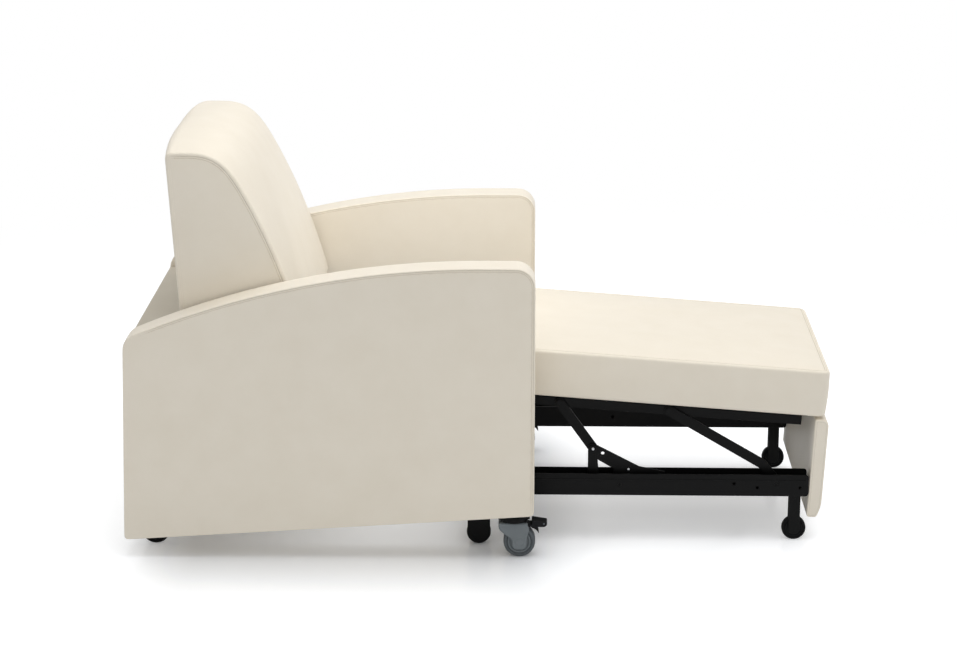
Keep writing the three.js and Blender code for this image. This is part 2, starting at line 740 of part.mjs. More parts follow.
// Rear link with the pin that turns in the bracket and the pin that turns in the seat's frame.
function rearLink(side) {
  const from = new THREE.Vector2(rearPivotForward, rearPivotHeight);
  const to = new THREE.Vector2(rearSeatPivotForward, rearSeatPivotHeight);
  const [low, high] = band(side, linkOffset - linkThickness / 2, linkOffset + linkThickness / 2);
  const bracketOuter = linkOffset + linkThickness / 2 + bracketThickness + 2 * seatGap;
  const [pinLow, pinHigh] = band(side, linkOffset, bracketOuter + rivetHeight);
  const [headLow, headHigh] = band(side, bracketOuter, bracketOuter + rivetHeight);
  const [stubLow, stubHigh] = band(side, seatTubeOffset, linkOffset + linkThickness / 2 + rivetHeight);
  const [capLow, capHigh] = band(side, linkOffset, linkOffset + linkThickness / 2 + rivetHeight);
  return carve([
    plateBetween(linkOutline(from, to, linkWidth), low, high),
    rodBetween(pinRadius, pinLow, pinHigh, from.x, from.y),
    rodBetween(rivetRadius, headLow, headHigh, from.x, from.y),
    rodBetween(pinRadius, stubLow, stubHigh, to.x, to.y),
    rodBetween(rivetRadius, capLow, capHigh, to.x, to.y),
  ]);
}

// Front link: a long bar that bends down into the rail, on a pin across the rail.
function frontLink(side) {
  const low = new THREE.Vector2(frontPivotForward, frontPivotHeight);
  const high = new THREE.Vector2(frontSeatPivotForward, frontSeatPivotHeight);
  const along = low.clone().sub(high).normalize();
  const across = new THREE.Vector2(-along.y, along.x).multiplyScalar(linkWidth / 2);
  const bend = low.clone().addScaledVector(along, -2 * linkWidth).addScaledVector(across, linkBendShare);
  const neck = low.clone().addScaledVector(across, linkNeckShare);
  const angle = Math.atan2(high.y - bend.y, high.x - bend.x);
  const foot = Math.atan2(bend.y - neck.y, bend.x - neck.x);
  const shape = new THREE.Shape();
  shape.absarc(high.x, high.y, linkWidth / 2, angle - Math.PI / 2, angle + Math.PI / 2, false);
  const lowerSide = new THREE.Vector2(-Math.sin(angle), Math.cos(angle)).multiplyScalar(linkWidth / 2);
  shape.lineTo(bend.x + lowerSide.x, bend.y + lowerSide.y);
  shape.absarc(low.x, low.y, linkWidth / 2, foot + Math.PI / 2, foot + (3 * Math.PI) / 2, false);
  shape.lineTo(bend.x - lowerSide.x, bend.y - lowerSide.y);
  shape.closePath();
  const [plateLow, plateHigh] = band(side, linkOffset - linkThickness / 2, linkOffset + linkThickness / 2);
  const [pinLow, pinHigh] = band(side, railInner + railWall / 4, railOuter - railWall / 4);
  const capFace = linkOffset + linkThickness / 2 + rivetHeight;
  const [stubLow, stubHigh] = band(side, seatTubeOffset + seatTubeSize / 4, capFace);
  const [capLow, capHigh] = band(side, linkOffset, capFace);
  return carve([
    plateBetween(shape, plateLow, plateHigh),
    rodBetween(pinRadius, pinLow, pinHigh, low.x, low.y),
    rodBetween(pinRadius, stubLow, stubHigh, high.x, high.y),
    rodBetween(rivetRadius, capLow, capHigh, high.x, high.y),
  ]);
}

// Upholstered board across the front of the carriage. The foot of its rear face is at zero.
function fasciaBoard() {
  const outline = roundedOutline([
    [0, 0, fasciaCornerRadius], [fasciaThickness - fasciaChamfer, 0, fasciaCornerRadius],
    [fasciaThickness, 3 * fasciaChamfer, 3 * fasciaCornerRadius],
    [fasciaThickness, fasciaHeight - fasciaChamfer, fasciaCornerRadius],
    [fasciaThickness - fasciaChamfer, fasciaHeight, fasciaCornerRadius],
    [0, fasciaHeight, fasciaCornerRadius],
  ]);
  return plateBetween(outline, -seatHalf, seatHalf, fasciaEdgeRadius, 2);
}

// Seat cushion in the seat's frame: the rear seat pivots are at zero and X runs along the slope.
function seatCushion() {
  const outline = roundedOutline([
    [seatRear, cushionBottom, seatCornerRadius], [seatReach, cushionBottom, seatCornerRadius],
    [seatReach, cushionTop, seatTopRadius], [seatRear, cushionTop, seatTopRadius],
  ]);
  const middle = (seatRear + seatReach) / 2;
  const reach = seatDepth / 2;
  const points = evenOutline(outline, 56);
  const alongShare = (point) => Math.min(1, Math.abs(point.x - middle) / reach);
  const crownAt = (point, normal) => Math.max(0, normal.y) * seatCrown * (1 - alongShare(point) ** 4);
  const drawInAt = (point) => seatDrawIn * (1 - alongShare(point) ** 2);
  return paddedForm(points, seatHalf, seatEdgeRadius, crownAt, drawInAt);
}

// The outline's own points with long straight stretches divided.
function evenOutline(shape, count) {
  const points = shape.getPoints(arcSteps);
  if (points[0].distanceTo(points[points.length - 1]) < seatGap / 100) points.pop();
  let total = 0;
  points.forEach((point, i) => { total += point.distanceTo(points[(i + 1) % points.length]); });
  const longest = total / count;
  return points.flatMap((point, i) => {
    const next = points[(i + 1) % points.length];
    const pieces = Math.max(1, Math.round(point.distanceTo(next) / longest));
    return Array.from({ length: pieces }, (_, k) => point.clone().lerp(next, k / pieces));
  });
}

// Square frame rail of the seat with the holes for the link pins.
function seatRail(side) {
  const half = seatTubeSize / 2;
  const bore = half - seatTubeWall;
  const middle = side * seatTubeOffset;
  const rear = seatRear + seatTubeRearSetIn;
  const front = seatReach - seatTubeFrontSetIn;
  const tube = block(rear, front, middle - half, middle + half, -half, half);
  const hollow = block(rear - cutOverrun, front + cutOverrun, middle - bore, middle + bore, -bore, bore);
  const frontHole = (frontSeatPivotForward - rearSeatPivotForward) / Math.cos(seatSlopeAngle);
  const [low, high] = band(side, seatTubeOffset, seatTubeOffset + seatTubeSize);
  return carve([tube], [
    hollow,
    rodBetween(pinRadius + pinClearance, low, high, 0, 0),
    rodBetween(lugHoleRadius, low, high, frontHole, 0),
  ]);
}

// Side view of the back: a wedge with a swelling front, a rounded top and a nearly upright rear face.
function backOutline() {
  const shape = new THREE.Shape();
  const rake = (backHeadRear - backFootRear) / (backTop - backBottom);
  const rearAt = (height) => backFootRear + rake * (height - backBottom);
  shape.moveTo(-rearAt(backBottom + backFootRadius), backBottom + backFootRadius);
  shape.quadraticCurveTo(-backFootRear, backBottom, -backFootRear + backFootRadius, backBottom);
  shape.lineTo(-backFootFront - backFootRadius, backBottom);
  const footTurn = new THREE.Vector2(-backFootFront - backFootRadius / 6, backBottom + backFootRadius);
  shape.quadraticCurveTo(-backFootFront, backBottom, footTurn.x, footTurn.y);
  const rise = backHeadTurn - backBottom;
  shape.bezierCurveTo(
    -backFootFront - backBellyForward, backBottom + rise * backBellyShare,
    -backHeadFront + 2 * backBellyForward, backHeadTurn - rise * backBellyShare,
    -backHeadFront, backHeadTurn,
  );
  const headTurn = -backHeadFront - 2.4 * backBellyForward;
  shape.quadraticCurveTo(-backHeadFront - backBellyForward, backTop, headTurn, backTop);
  shape.lineTo(-rearAt(backTop) + backTopRadius, backTop);
  const rearTurn = backTop - backTopRadius;
  shape.quadraticCurveTo(-rearAt(backTop), backTop, -rearAt(rearTurn), rearTurn);
  shape.closePath();
  return shape;
}

// The wedge-shaped back cushion.
function backCushion() {
  const points = evenOutline(backOutline(), 44);
  const rise = backTop - backBottom;
  const crownAt = (point, normal) => {
    const up = Math.min(1, Math.max(0, (point.y - backBottom) / rise));
    const facing = Math.max(0, normal.x, normal.y);
    return backCrown * facing * Math.sqrt(up);
  };
  return paddedForm(points, backHalf, backEdgeRadius, crownAt, () => 0);
}

// Plate on the side of the back with the stud on which the back turns.
function hingePlate(side) {
  const inner = backHalf + seatGap;
  const [low, high] = band(side, inner, inner + hingePlateThickness);
  const foot = backPivotHeight - hingeStudRadius * 2;
  const outline = roundedOutline([
    [-backPivotSetback - hingePlateLength / 3, foot, hingeStudRadius],
    [-backPivotSetback + hingePlateLength / 3, foot, hingeStudRadius],
    [-backPivotSetback + hingePlateLength / 6, foot + hingePlateHeight, hingeStudRadius],
    [-backPivotSetback - hingePlateLength / 6, foot + hingePlateHeight, hingeStudRadius],
  ]);
  const [studLow, studHigh] = band(side, inner, armInner - 2 * seatGap);
  return carve([
    plateBetween(outline, low, high),
    rodBetween(hingeStudRadius, studLow, studHigh, -backPivotSetback, backPivotHeight),
  ]);
}

// Ring on the arm's inner face in which the back's stud turns.
function pivotSocket(side) {
  const [low, high] = band(side, armInner - seatGap - socketThickness, armInner - seatGap);
  const ring = rodBetween(socketRadius, low, high, -backPivotSetback, backPivotHeight, wheelSides);
  const bore = rodBetween(hingeStudRadius + pinClearance, low - cutOverrun, high + cutOverrun,
    -backPivotSetback, backPivotHeight);
  return carve([ring], [bore]);
}

// Builds the fixed shell: arms, rear panel, cross tubes, guides, caster mounts, rear forks and wheels.
function buildShell(chair) {
  addPiece(chair, 'rear_panel', rearPanel(), vinyl);
  const tubeHalf = armInner - seatGap;
  addPiece(chair, 'lower_cross_tube',
    squareTube(crossTubeSize, crossTubeWall, tubeHalf, -crossTubeSetback, lowerTubeHeight), powderCoat);
  addPiece(chair, 'upper_cross_tube',
    squareTube(crossTubeSize, crossTubeWall, tubeHalf, -crossTubeSetback, upperTubeHeight), powderCoat);
  for (const [side, word] of sides) {
    addPiece(chair, `arm_${word}`, armPanel(side), vinyl);
    addPiece(chair, `guide_channel_${word}`, guideChannel(side), powderCoat);
    addPiece(chair, `caster_mount_${word}`, casterMount(side), powderCoat);
    addPiece(chair, `back_pivot_socket_${word}`, pivotSocket(side), powderCoat);
    const corner = new THREE.Group();
    corner.position.set(-crossTubeSetback, side * rearWheelOffset, 0);
    addPiece(corner, `rear_fork_${word}`, forkGeometry({
      width: forkWidth,
      wheel: rearWheelDiameter,
      wheelWidth: rearWheelWidth,
      top: lowerTubeHeight - crossTubeSize / 2 - seatGap,
    }), powderCoat);
    const wheel = addPiece(corner, `rear_wheel_${word}`,
      wheelGeometry(rearWheelDiameter, rearWheelWidth, axleRadius + pinClearance), blackTread);
    wheel.position.z = rearWheelDiameter / 2;
    chair.add(corner);
  }
}

// Builds one braked swivel caster under the front of each arm.
function buildCasters(chair) {
  for (const [side, word] of sides) {
    const caster = new THREE.Group();
    caster.position.set(-casterSetback, side * armMiddle, 0);
    addPiece(caster, `caster_hood_${word}`, casterHood(), greyNylon);
    addPiece(caster, `brake_pedal_${word}`, brakePedal(), blackNylon);
    addPiece(caster, `brake_hook_${word}`, brakeHook(), blackNylon);
    const wheel = addPiece(caster, `caster_wheel_${word}`,
      wheelGeometry(casterWheelDiameter, casterWheelWidth, casterAxleRadius + pinClearance), greyTread);
    wheel.position.set(casterTrail, 0, casterWheelDiameter / 2);
    chair.add(caster);
  }
}

// Builds the sliding carriage with its rails, legs, wheels, rollers, brackets and front board.
function buildCarriage(chair) {
  const carriage = new THREE.Group();
  addPiece(carriage, 'carriage_cross_tube', squareTube(
    carriageTubeHeight, railWall, railInner - seatGap, -railRear + carriageTubeDepth,
    railBottom + railHeight / 2, carriageTubeDepth,
  ), powderCoat);
  const fascia = addPiece(carriage, 'fascia_board', fasciaBoard(), vinyl);
  const touch = railFront + seatGap - (railBottom - fasciaBottom) * Math.tan(fasciaLeanAngle);
  fascia.position.set(touch, 0, fasciaBottom);
  fascia.rotation.y = fasciaLeanAngle;
  for (const [side, word] of sides) {
    addPiece(carriage, `carriage_rail_${word}`, carriageRail(side), powderCoat);
    addPiece(carriage, `pivot_bracket_${word}`, pivotBracket(side), powderCoat);
    const front = new THREE.Group();
    front.position.set(frontLegForward, side * railMiddle, 0);
    addPiece(front, `front_leg_${word}`, forkGeometry({
      width: frontLegWidth, wheel: legWheelDiameter, wheelWidth: legWheelWidth, top: railBottom - seatGap,
    }), powderCoat);
    const frontWheel = addPiece(front, `front_wheel_${word}`,
      wheelGeometry(legWheelDiameter, legWheelWidth, axleRadius + pinClearance), blackTread);
    frontWheel.position.z = legWheelDiameter / 2;
    const rear = new THREE.Group();
    rear.position.set(-rearLegSetback, side * rearLegOffset, 0);
    addPiece(rear, `rear_leg_${word}`, rearLeg(side), powderCoat);
    const rearWheel = addPiece(rear, `carriage_rear_wheel_${word}`,
      wheelGeometry(legWheelDiameter, legWheelWidth, axleRadius + pinClearance), blackTread);
    rearWheel.position.z = legWheelDiameter / 2;
    const rollerBore = rollerStudRadius + pinClearance;
    const roller = addPiece(rear, `guide_roller_${word}`,
      wheelGeometry(2 * rollerRadius, rollerWidth, rollerBore, smallSides), blackNylon);
    const rollerPlace = armInner - seatGap - guideWall - rollerMargin - rollerWidth / 2 - rearLegOffset;
    roller.position.set(0, side * rollerPlace, rollerHeight);
    carriage.add(front, rear);
  }
  chair.add(carriage);
}

// Builds the four links that carry the seat on the carriage.
function buildLinks(chair) {
  for (const [side, word] of sides) {
    addPiece(chair, `rear_link_${word}`, rearLink(side), powderCoat);
    addPiece(chair, `front_link_${word}`, frontLink(side), powderCoat);
  }
}

// Builds the seat in a group that is turned to the seat's slope about the rear seat pivots.
function buildSeat(chair) {
  const seat = new THREE.Group();
  seat.position.set(rearSeatPivotForward, 0, rearSeatPivotHeight);
  seat.rotation.y = seatSlopeAngle;
  addPiece(seat, 'seat_cushion', seatCushion(), vinyl);
  const half = seatHalf - boardSideInset;
  const boardBottom = seatTubeSize / 2 + seatGap;
  addPiece(seat, 'seat_board', block(seatRear + boardInset, seatReach - boardInset * 3,
    -half, half, boardBottom, boardBottom + boardThickness), plywood);
  const tubeHalf = seatTubeOffset - seatTubeSize / 2 - seatGap;
  addPiece(seat, 'seat_cross_tube_rear',
    squareTube(seatTubeSize, seatTubeWall, tubeHalf, seatRear + seatCrossRearSetIn, 0), powderCoat);
  addPiece(seat, 'seat_cross_tube_front',
    squareTube(seatTubeSize, seatTubeWall, tubeHalf, seatReach - seatCrossFrontSetIn, 0), powderCoat);
  for (const [side, word] of sides) {
    addPiece(seat, `seat_rail_${word}`, seatRail(side), powderCoat);
  }
  chair.add(seat);
}

// Builds the wedge back with its hinge plates.
function buildBack(chair) {
  addPiece(chair, 'back_cushion', backCushion(), vinyl);
  for (const [side, word] of sides) {
    addPiece(chair, `hinge_plate_${word}`, hingePlate(side), powderCoat);
  }
}

const sides = [[-1, 'right'], [1, 'left']];
const chairBed = new THREE.Group();
const chair = new THREE.Group();
chair.position.x = originShift;
buildShell(chair);
buildCasters(chair);
buildCarriage(chair);
buildLinks(chair);
buildSeat(chair);
buildBack(chair);
chairBed.add(chair);

export default chairBed;
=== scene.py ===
"""Looks of a convertible chair bed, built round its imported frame.

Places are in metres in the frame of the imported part. The side views below are drawn from the arms' front
face and the floor, and the origin shift brings them to the part's frame. A setback is a distance behind
the arms' front face.
"""

import json
import logging
import math
from collections.abc import Callable, Sequence
from dataclasses import dataclass, field
from enum import Enum

import bmesh
import bpy
from mathutils import Matrix, Vector


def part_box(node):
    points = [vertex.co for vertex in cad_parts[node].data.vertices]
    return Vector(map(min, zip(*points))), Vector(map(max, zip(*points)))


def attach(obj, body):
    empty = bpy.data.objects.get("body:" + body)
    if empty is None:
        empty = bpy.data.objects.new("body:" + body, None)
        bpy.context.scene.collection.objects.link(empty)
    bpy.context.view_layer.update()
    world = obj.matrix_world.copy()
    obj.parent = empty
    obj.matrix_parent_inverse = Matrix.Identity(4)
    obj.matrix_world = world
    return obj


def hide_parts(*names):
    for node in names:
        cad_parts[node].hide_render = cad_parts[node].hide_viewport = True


logging.basicConfig(level=logging.INFO, format="%(message)s")
log = logging.getLogger("chair_bed")

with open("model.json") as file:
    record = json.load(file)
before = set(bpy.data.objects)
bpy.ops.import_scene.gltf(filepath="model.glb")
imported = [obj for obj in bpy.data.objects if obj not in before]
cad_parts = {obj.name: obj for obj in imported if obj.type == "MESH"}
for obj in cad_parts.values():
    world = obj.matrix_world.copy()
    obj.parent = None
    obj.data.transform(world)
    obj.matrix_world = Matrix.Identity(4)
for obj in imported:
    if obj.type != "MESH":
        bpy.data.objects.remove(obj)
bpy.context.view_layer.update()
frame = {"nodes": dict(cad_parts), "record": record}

MM = 0.001
ORIGIN_SHIFT = 0.125241
MERGE = 1e-6
SIDES = ((-1, "right"), (1, "left"))

Point = tuple[float, float]
Settings = dict[str | int, object]
BMesh = bmesh.types.BMesh
Material = bpy.types.Material
Object = bpy.types.Object
Socket = bpy.types.NodeSocket
Tree = bpy.types.NodeTree


# ---------------------------------------------------------------------------------------------- colour and nodes


def linear(code: str) -> tuple[float, float, float, float]:
    """Turns an sRGB hex colour to linear.

    Args:
        code: Six hex digits.

    Returns:
        Red, green, blue and alpha.
    """
    parts = [int(code[i : i + 2], 16) / 255 for i in (0, 2, 4)]
    return (*[p / 12.92 if p <= 0.04045 else ((p + 0.055) / 1.055) ** 2.4 for p in parts], 1.0)


def add_node(tree: Tree, kind: str, settings: Settings | None = None, out: str | int = 0, **links: Socket) -> Socket:
    """Adds one shader node with its settings and links.

    Args:
        tree: The node tree.
        kind: The node's type, without the word ShaderNode.
        settings: Values of properties and of input sockets, by name or by the socket's number.
        out: The output that is wanted, by name or number.
        **links: Output sockets by input name, with underscores for spaces, or by an underscore and number.

    Returns:
        The wanted output.
    """
    node = tree.nodes.new(f"ShaderNode{kind}")
    for key, value in (settings or {}).items():
        if isinstance(key, int) or key in node.inputs:
            node.inputs[key].default_value = value
        else:
            setattr(node, key, value)
    for key, socket in links.items():
        name = key.replace("_", " ")
        tree.links.new(socket, node.inputs[int(name[1:]) if name[1:].isdigit() else name])
    return node.outputs[out]


def scale_of(size_mm: float) -> float:
    """The scale at which a texture repeats once in so many millimetres."""
    return 1 / (size_mm * MM)


@dataclass(frozen=True)
class Look:
    """A finish's material, whose surface each finish draws in its own way."""

    name: str

    def build(self) -> Material:
        """Makes the material.

        Returns:
            The material.
        """
        material = bpy.data.materials.new(self.name)
        material.use_nodes = True
        tree = material.node_tree
        tree.nodes.clear()
        surface = self.surface(tree, add_node(tree, "TexCoord", out="Object"))
        tree.links.new(surface, tree.nodes.new("ShaderNodeOutputMaterial").inputs["Surface"])
        return material

    def surface(self, tree: Tree, place: Socket) -> Socket:
        """Draws the surface.

        Args:
            tree: The material's tree.
            place: The Object coordinates.

        Returns:
            The shader's output.
        """
        raise NotImplementedError


@dataclass(frozen=True)
class CoatedVinyl(Look):
    """Polyurethane-coated upholstery fabric: a soft satin skin with a fine embossed pebble and slight mottling."""

    name: str = "coated_vinyl_cream"
    pale: str = "F1E9DA"
    deep: str = "EAE1D0"
    # painted shade in the seam grooves: how dark the colour turns there, and how much warmer
    painted_seam_shade: float = 0.7
    painted_seam_tint: tuple[float, float, float] = (1.0, 0.98, 0.94)
    roughness: float = 0.46
    sheen: float = 0.06
    specular: float = 0.28
    mottle_mm: float = 70.0
    pebble_mm: float = 2.4  # the real pebble is about 0.8 mm, drawn coarser so that it shows
    pucker_mm: float = 16.0

    def surface(self, tree: Tree, place: Socket) -> Socket:
        """Draws the mottled skin, its pebble, the painted shade in its seams and their puckers.

        Args:
            tree: The material's tree.
            place: The Object coordinates.

        Returns:
            The shader's output.
        """
        mottling = {"Scale": scale_of(self.mottle_mm), "Detail": 4.0, "Roughness": 0.55}
        mottle = add_node(tree, "TexNoise", mottling, Vector=place)
        tints = {"data_type": "RGBA", 6: linear(self.pale), 7: linear(self.deep)}
        colour = add_node(tree, "Mix", tints, 2, _0=mottle)
        # painted shade: the colour is multiplied darker where the groove attribute marks the seam's recesses
        in_groove = add_node(tree, "Attribute", {"attribute_name": "groove"}, "Fac")
        shade = (*[self.painted_seam_shade * part for part in self.painted_seam_tint], 1.0)
        shading = {"data_type": "RGBA", "blend_type": "MULTIPLY", 7: shade}
        shaded = add_node(tree, "Mix", shading, 2, _0=in_groove, _6=colour)
        embossing = {"Scale": scale_of(self.pebble_mm), "feature": "SMOOTH_F1", "Smoothness": 0.6}
        pebble = add_node(tree, "TexVoronoi", embossing, Vector=place)
        crease = add_node(tree, "TexNoise", {"Scale": scale_of(self.pucker_mm), "Detail": 2.0}, Vector=place)
        near_seam = add_node(tree, "Attribute", {"attribute_name": "seam"}, "Fac")
        pucker = add_node(tree, "Math", {"operation": "MULTIPLY"}, _0=crease, _1=near_seam)
        puckered = add_node(tree, "Bump", {"Strength": 0.5, "Distance": 1.6 * MM}, Height=pucker)
        skin = add_node(tree, "Bump", {"Strength": 0.35, "Distance": 0.25 * MM}, Height=pebble, Normal=puckered)
        span = {"To Min": self.roughness - 0.04, "To Max": self.roughness + 0.06}
        gloss = add_node(tree, "MapRange", span, Value=mottle)
        cloth = {"IOR": 1.46, "Sheen Weight": self.sheen, "Sheen Roughness": 0.5, "Specular IOR Level": self.specular}
        return add_node(tree, "BsdfPrincipled", cloth, Base_Color=shaded, Roughness=gloss, Normal=skin)


@dataclass(frozen=True)
class GrainedSkin(Look):
    """A hard skin whose colour and gloss wander with wear over a fine even grain."""

    colour: str
    worn: str
    roughness: float
    grain_mm: float
    grain_depth_mm: float
    grain_detail: float = 3.0
    grain_strength: float = 0.3
    wear_mm: float = 25.0
    wear_detail: float = 4.0
    roughened: float = 0.07
    specular: float = 0.11

    def surface(self, tree: Tree, place: Socket) -> Socket:
        """Draws the skin, its wear and its grain.

        Args:
            tree: The material's tree.
            place: The Object coordinates.

        Returns:
            The shader's output.
        """
        wearing = {"Scale": scale_of(self.wear_mm), "Detail": self.wear_detail}
        wear = add_node(tree, "TexNoise", wearing, Vector=place)
        tints = {"data_type": "RGBA", 6: linear(self.colour), 7: linear(self.worn)}
        colour = add_node(tree, "Mix", tints, 2, _0=wear)
        graining = {"Scale": scale_of(self.grain_mm), "Detail": self.grain_detail}
        grain = add_node(tree, "TexNoise", graining, Vector=place)
        relief = {"Strength": self.grain_strength, "Distance": self.grain_depth_mm * MM}
        bump = add_node(tree, "Bump", relief, Height=grain)
        span = {"To Min": self.roughness - 0.05, "To Max": self.roughness + self.roughened}
        gloss = add_node(tree, "MapRange", span, Value=wear)
        hard = {"IOR": 1.5, "Specular IOR Level": self.specular}
        return add_node(tree, "BsdfPrincipled", hard, Base_Color=colour, Roughness=gloss, Normal=bump)


@dataclass(frozen=True)
class PowderCoat(GrainedSkin):
    """Black polyester powder on steel: satin, with a faint orange peel from the oven and a little dust grey."""

    name: str = "powder_coat_black"
    colour: str = "060606"
    worn: str = "0D0D0D"
    roughness: float = 0.4
    grain_mm: float = 3.0
    grain_depth_mm: float = 0.12
    grain_detail: float = 1.0
    grain_strength: float = 0.18
    wear_mm: float = 45.0
    wear_detail: float = 5.0
    roughened: float = 0.08


@dataclass(frozen=True)
class Moulded(GrainedSkin):
    """Injection-moulded nylon or rubber with a spark-eroded skin: an even fine grain and soft highlights."""


@dataclass(frozen=True)
class ZincPlate(Look):
    """Bright zinc on small steel rivets and bolts: a metal with fine swirl marks that soften its gloss."""

    name: str = "zinc_plated_steel"
    colour: str = "C9CBCD"
    roughness: float = 0.3

    def surface(self, tree: Tree, place: Socket) -> Socket:
        """Draws the metal and its swirl marks.

        Args:
            tree: The material's tree.
            place: The Object coordinates.

        Returns:
            The shader's output.
        """
        marks = add_node(tree, "TexNoise", {"Scale": 900.0, "Detail": 3.0}, Vector=place)
        span = {"To Min": self.roughness - 0.08, "To Max": self.roughness + 0.12}
        gloss = add_node(tree, "MapRange", span, Value=marks)
        metal = {"Base Color": linear(self.colour), "Metallic": 1.0}
        return add_node(tree, "BsdfPrincipled", metal, Roughness=gloss)


@dataclass(frozen=True)
class StudioFloor(Look):
    """White sheet under the object. It keeps the shadow and a faint reflection near the object and is plain
    white farther out. Its glow drops close to the shell, which paints a deeper shadow round the shell."""

    name: str = "studio_sheet"
    colour: str = "F4F6F9"
    lift: float = 0.4
    painted_shadow_lift: float = 0.05
    shell_middle: tuple[float, float, float] = (-0.27, 0.0, 0.0)
    shell_half: tuple[float, float, float] = (0.34, 0.38, 1.0)
    stretch: tuple[float, float, float] = (2.0, 1.0, 0.0)
    fade: float = 0.42
    roughness: float = 0.16
    near: float = 1.3
    far: float = 3.2

    def surface(self, tree: Tree, place: Socket) -> Socket:
        """Draws the sheet and its two glows.

        Args:
            tree: The material's tree.
            place: The Object coordinates.

        Returns:
            The shader's output.
        """
        camera = add_node(tree, "LightPath", out="Is Camera Ray")
        glossy = add_node(tree, "LightPath", out="Is Glossy Ray")
        seen = add_node(tree, "Math", {"operation": "MAXIMUM"}, _0=camera, _1=glossy)
        away = add_node(tree, "VectorMath", {"operation": "LENGTH"}, "Value", Vector=place)
        span = {"interpolation_type": "SMOOTHSTEP", "From Min": self.near, "From Max": self.far}
        out = add_node(tree, "MapRange", span, Value=away)
        plain = add_node(tree, "Math", {"operation": "MULTIPLY"}, _0=out, _1=seen)
        # distance from a stretched box round the shell's footprint; close to it the glow drops to paint a shadow
        steps = (
            ("SUBTRACT", self.shell_middle),
            ("ABSOLUTE", None),
            ("SUBTRACT", self.shell_half),
            ("MAXIMUM", None),
            ("MULTIPLY", self.stretch),
        )
        off = place
        for operation, other in steps:
            settings = {"operation": operation} | ({1: other} if other else {})
            off = add_node(tree, "VectorMath", settings, _0=off)
        gap = add_node(tree, "VectorMath", {"operation": "LENGTH"}, "Value", _0=off)
        # painted shadow: a weaker glow close to the shell, full glow farther out
        span = {"From Max": self.fade, "To Min": self.painted_shadow_lift, "To Max": self.lift}
        lift = add_node(tree, "MapRange", {"interpolation_type": "SMOOTHSTEP"} | span, Value=gap)
        strength = add_node(tree, "Math", {"operation": "MULTIPLY"}, _0=seen, _1=lift)
        look = {"Base Color": linear(self.colour), "Roughness": self.roughness, "IOR": 1.3}
        sheet = add_node(tree, "BsdfPrincipled", look)
        glow = add_node(tree, "Emission", {"Color": (1, 1, 1, 1)}, Strength=strength)
        white = add_node(tree, "Emission", {"Color": (1, 1, 1, 1), "Strength": 1.0})
        both = add_node(tree, "AddShader", _0=sheet, _1=glow)
        return add_node(tree, "MixShader", _0=plain, _1=both, _2=white)


@dataclass(frozen=True)
class SewingThread(Look):
    """Bonded polyester thread: matt, a shade deeper than the cover, with the twist of its plies."""

    name: str = "sewing_thread_cream"
    colour: str = "DDD0BB"
    twist_mm: float = 1.4

    def surface(self, tree: Tree, place: Socket) -> Socket:
        """Draws the thread. A wave texture has twenty bands in the length of its scale.

        Args:
            tree: The material's tree.
            place: The Object coordinates.

        Returns:
            The shader's output.
        """
        plies = {"Scale": scale_of(self.twist_mm) / 20, "bands_direction": "DIAGONAL"}
        twist = add_node(tree, "TexWave", plies, "Fac", Vector=place)
        bump = add_node(tree, "Bump", {"Strength": 0.5, "Distance": 0.15 * MM}, Height=twist)
        look = {"Base Color": linear(self.colour), "Roughness": 0.7, "Sheen Weight": 0.3}
        return add_node(tree, "BsdfPrincipled", look, Normal=bump)


class Finish(Enum):
    """The finishes of this object, each with the record's material slot."""

    VINYL = ("vinyl", CoatedVinyl())
    # a darker copy of the vinyl: painted shade on the flap behind the back cushion
    REVERSE = ("vinyl", CoatedVinyl(name="coated_vinyl_painted_shade", pale="CFC8B9", deep="C8C0B0", sheen=0.0))
    STEEL = ("frame_black", PowderCoat())
    HOOD = ("hood_grey", Moulded("moulded_nylon_grey", "767C7F", "7F8588", 0.5, 1.2, 0.08))
    NYLON = ("nylon_black", Moulded("moulded_nylon_black", "111213", "1A1B1C", 0.46, 1.2, 0.1))
    TREAD_GREY = ("tread_grey", Moulded("tread_rubber_grey", "5A5F62", "64696C", 0.62, 1.6, 0.12))
    TREAD_BLACK = ("tread_black", Moulded("tread_rubber_black", "0D0D0E", "151516", 0.6, 1.6, 0.12))
    COVER = ("board", Moulded("dust_cover_black", "161616", "1C1C1C", 0.85, 1.8, 0.3))
    ZINC = ("frame_black", ZincPlate())
    THREAD = ("vinyl", SewingThread())

    def material(self) -> Material:
        """The finish's material, made at its first use."""
        finish = self.value[1]
        return bpy.data.materials.get(finish.name) or finish.build()

    def slot(self) -> str:
        """The record's slot."""
        return self.value[0]


# ------------------------------------------------------------------------------------------------- shared making


def finished(
    shape: BMesh, name: str, finish: Finish, body: str, smooth_deg: float = 35.0
) -> Object:
    """Turns a bmesh into a piece that rides on a body.

    Args:
        shape: The mesh, in the part's frame. It is freed.
        name: The piece's name.
        finish: Its finish.
        body: The CAD body that carries it.
        smooth_deg: Edges sharper than this stay crisp.

    Returns:
        The new object.
    """
    mesh = bpy.data.meshes.new(name)
    shape.to_mesh(mesh)
    shape.free()
    for polygon in mesh.polygons:
        polygon.use_smooth = True
    mesh.set_sharp_from_angle(angle=math.radians(smooth_deg))
    piece = bpy.data.objects.new(name, mesh)
    bpy.context.scene.collection.objects.link(piece)
    piece.data.materials.append(finish.material())
    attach(piece, body)
    log.info("%s rides on %s", name, body)
    return piece


def body_of(node: str) -> str:
    """The body that carries a CAD node."""
    bodies = frame["record"]["behaviour"]["bodies"]
    return next(body for body, nodes in bodies.items() if node in nodes)


def add_modifier(piece: Object, kind: str, **settings: object) -> bpy.types.Modifier:
    """Adds a modifier with its settings.

    Args:
        piece: The object.
        kind: The modifier's type.
        **settings: Its properties.

    Returns:
        The modifier.
    """
    modifier = piece.modifiers.new(kind.title(), kind)
    for key, value in settings.items():
        setattr(modifier, key, value)
    return modifier


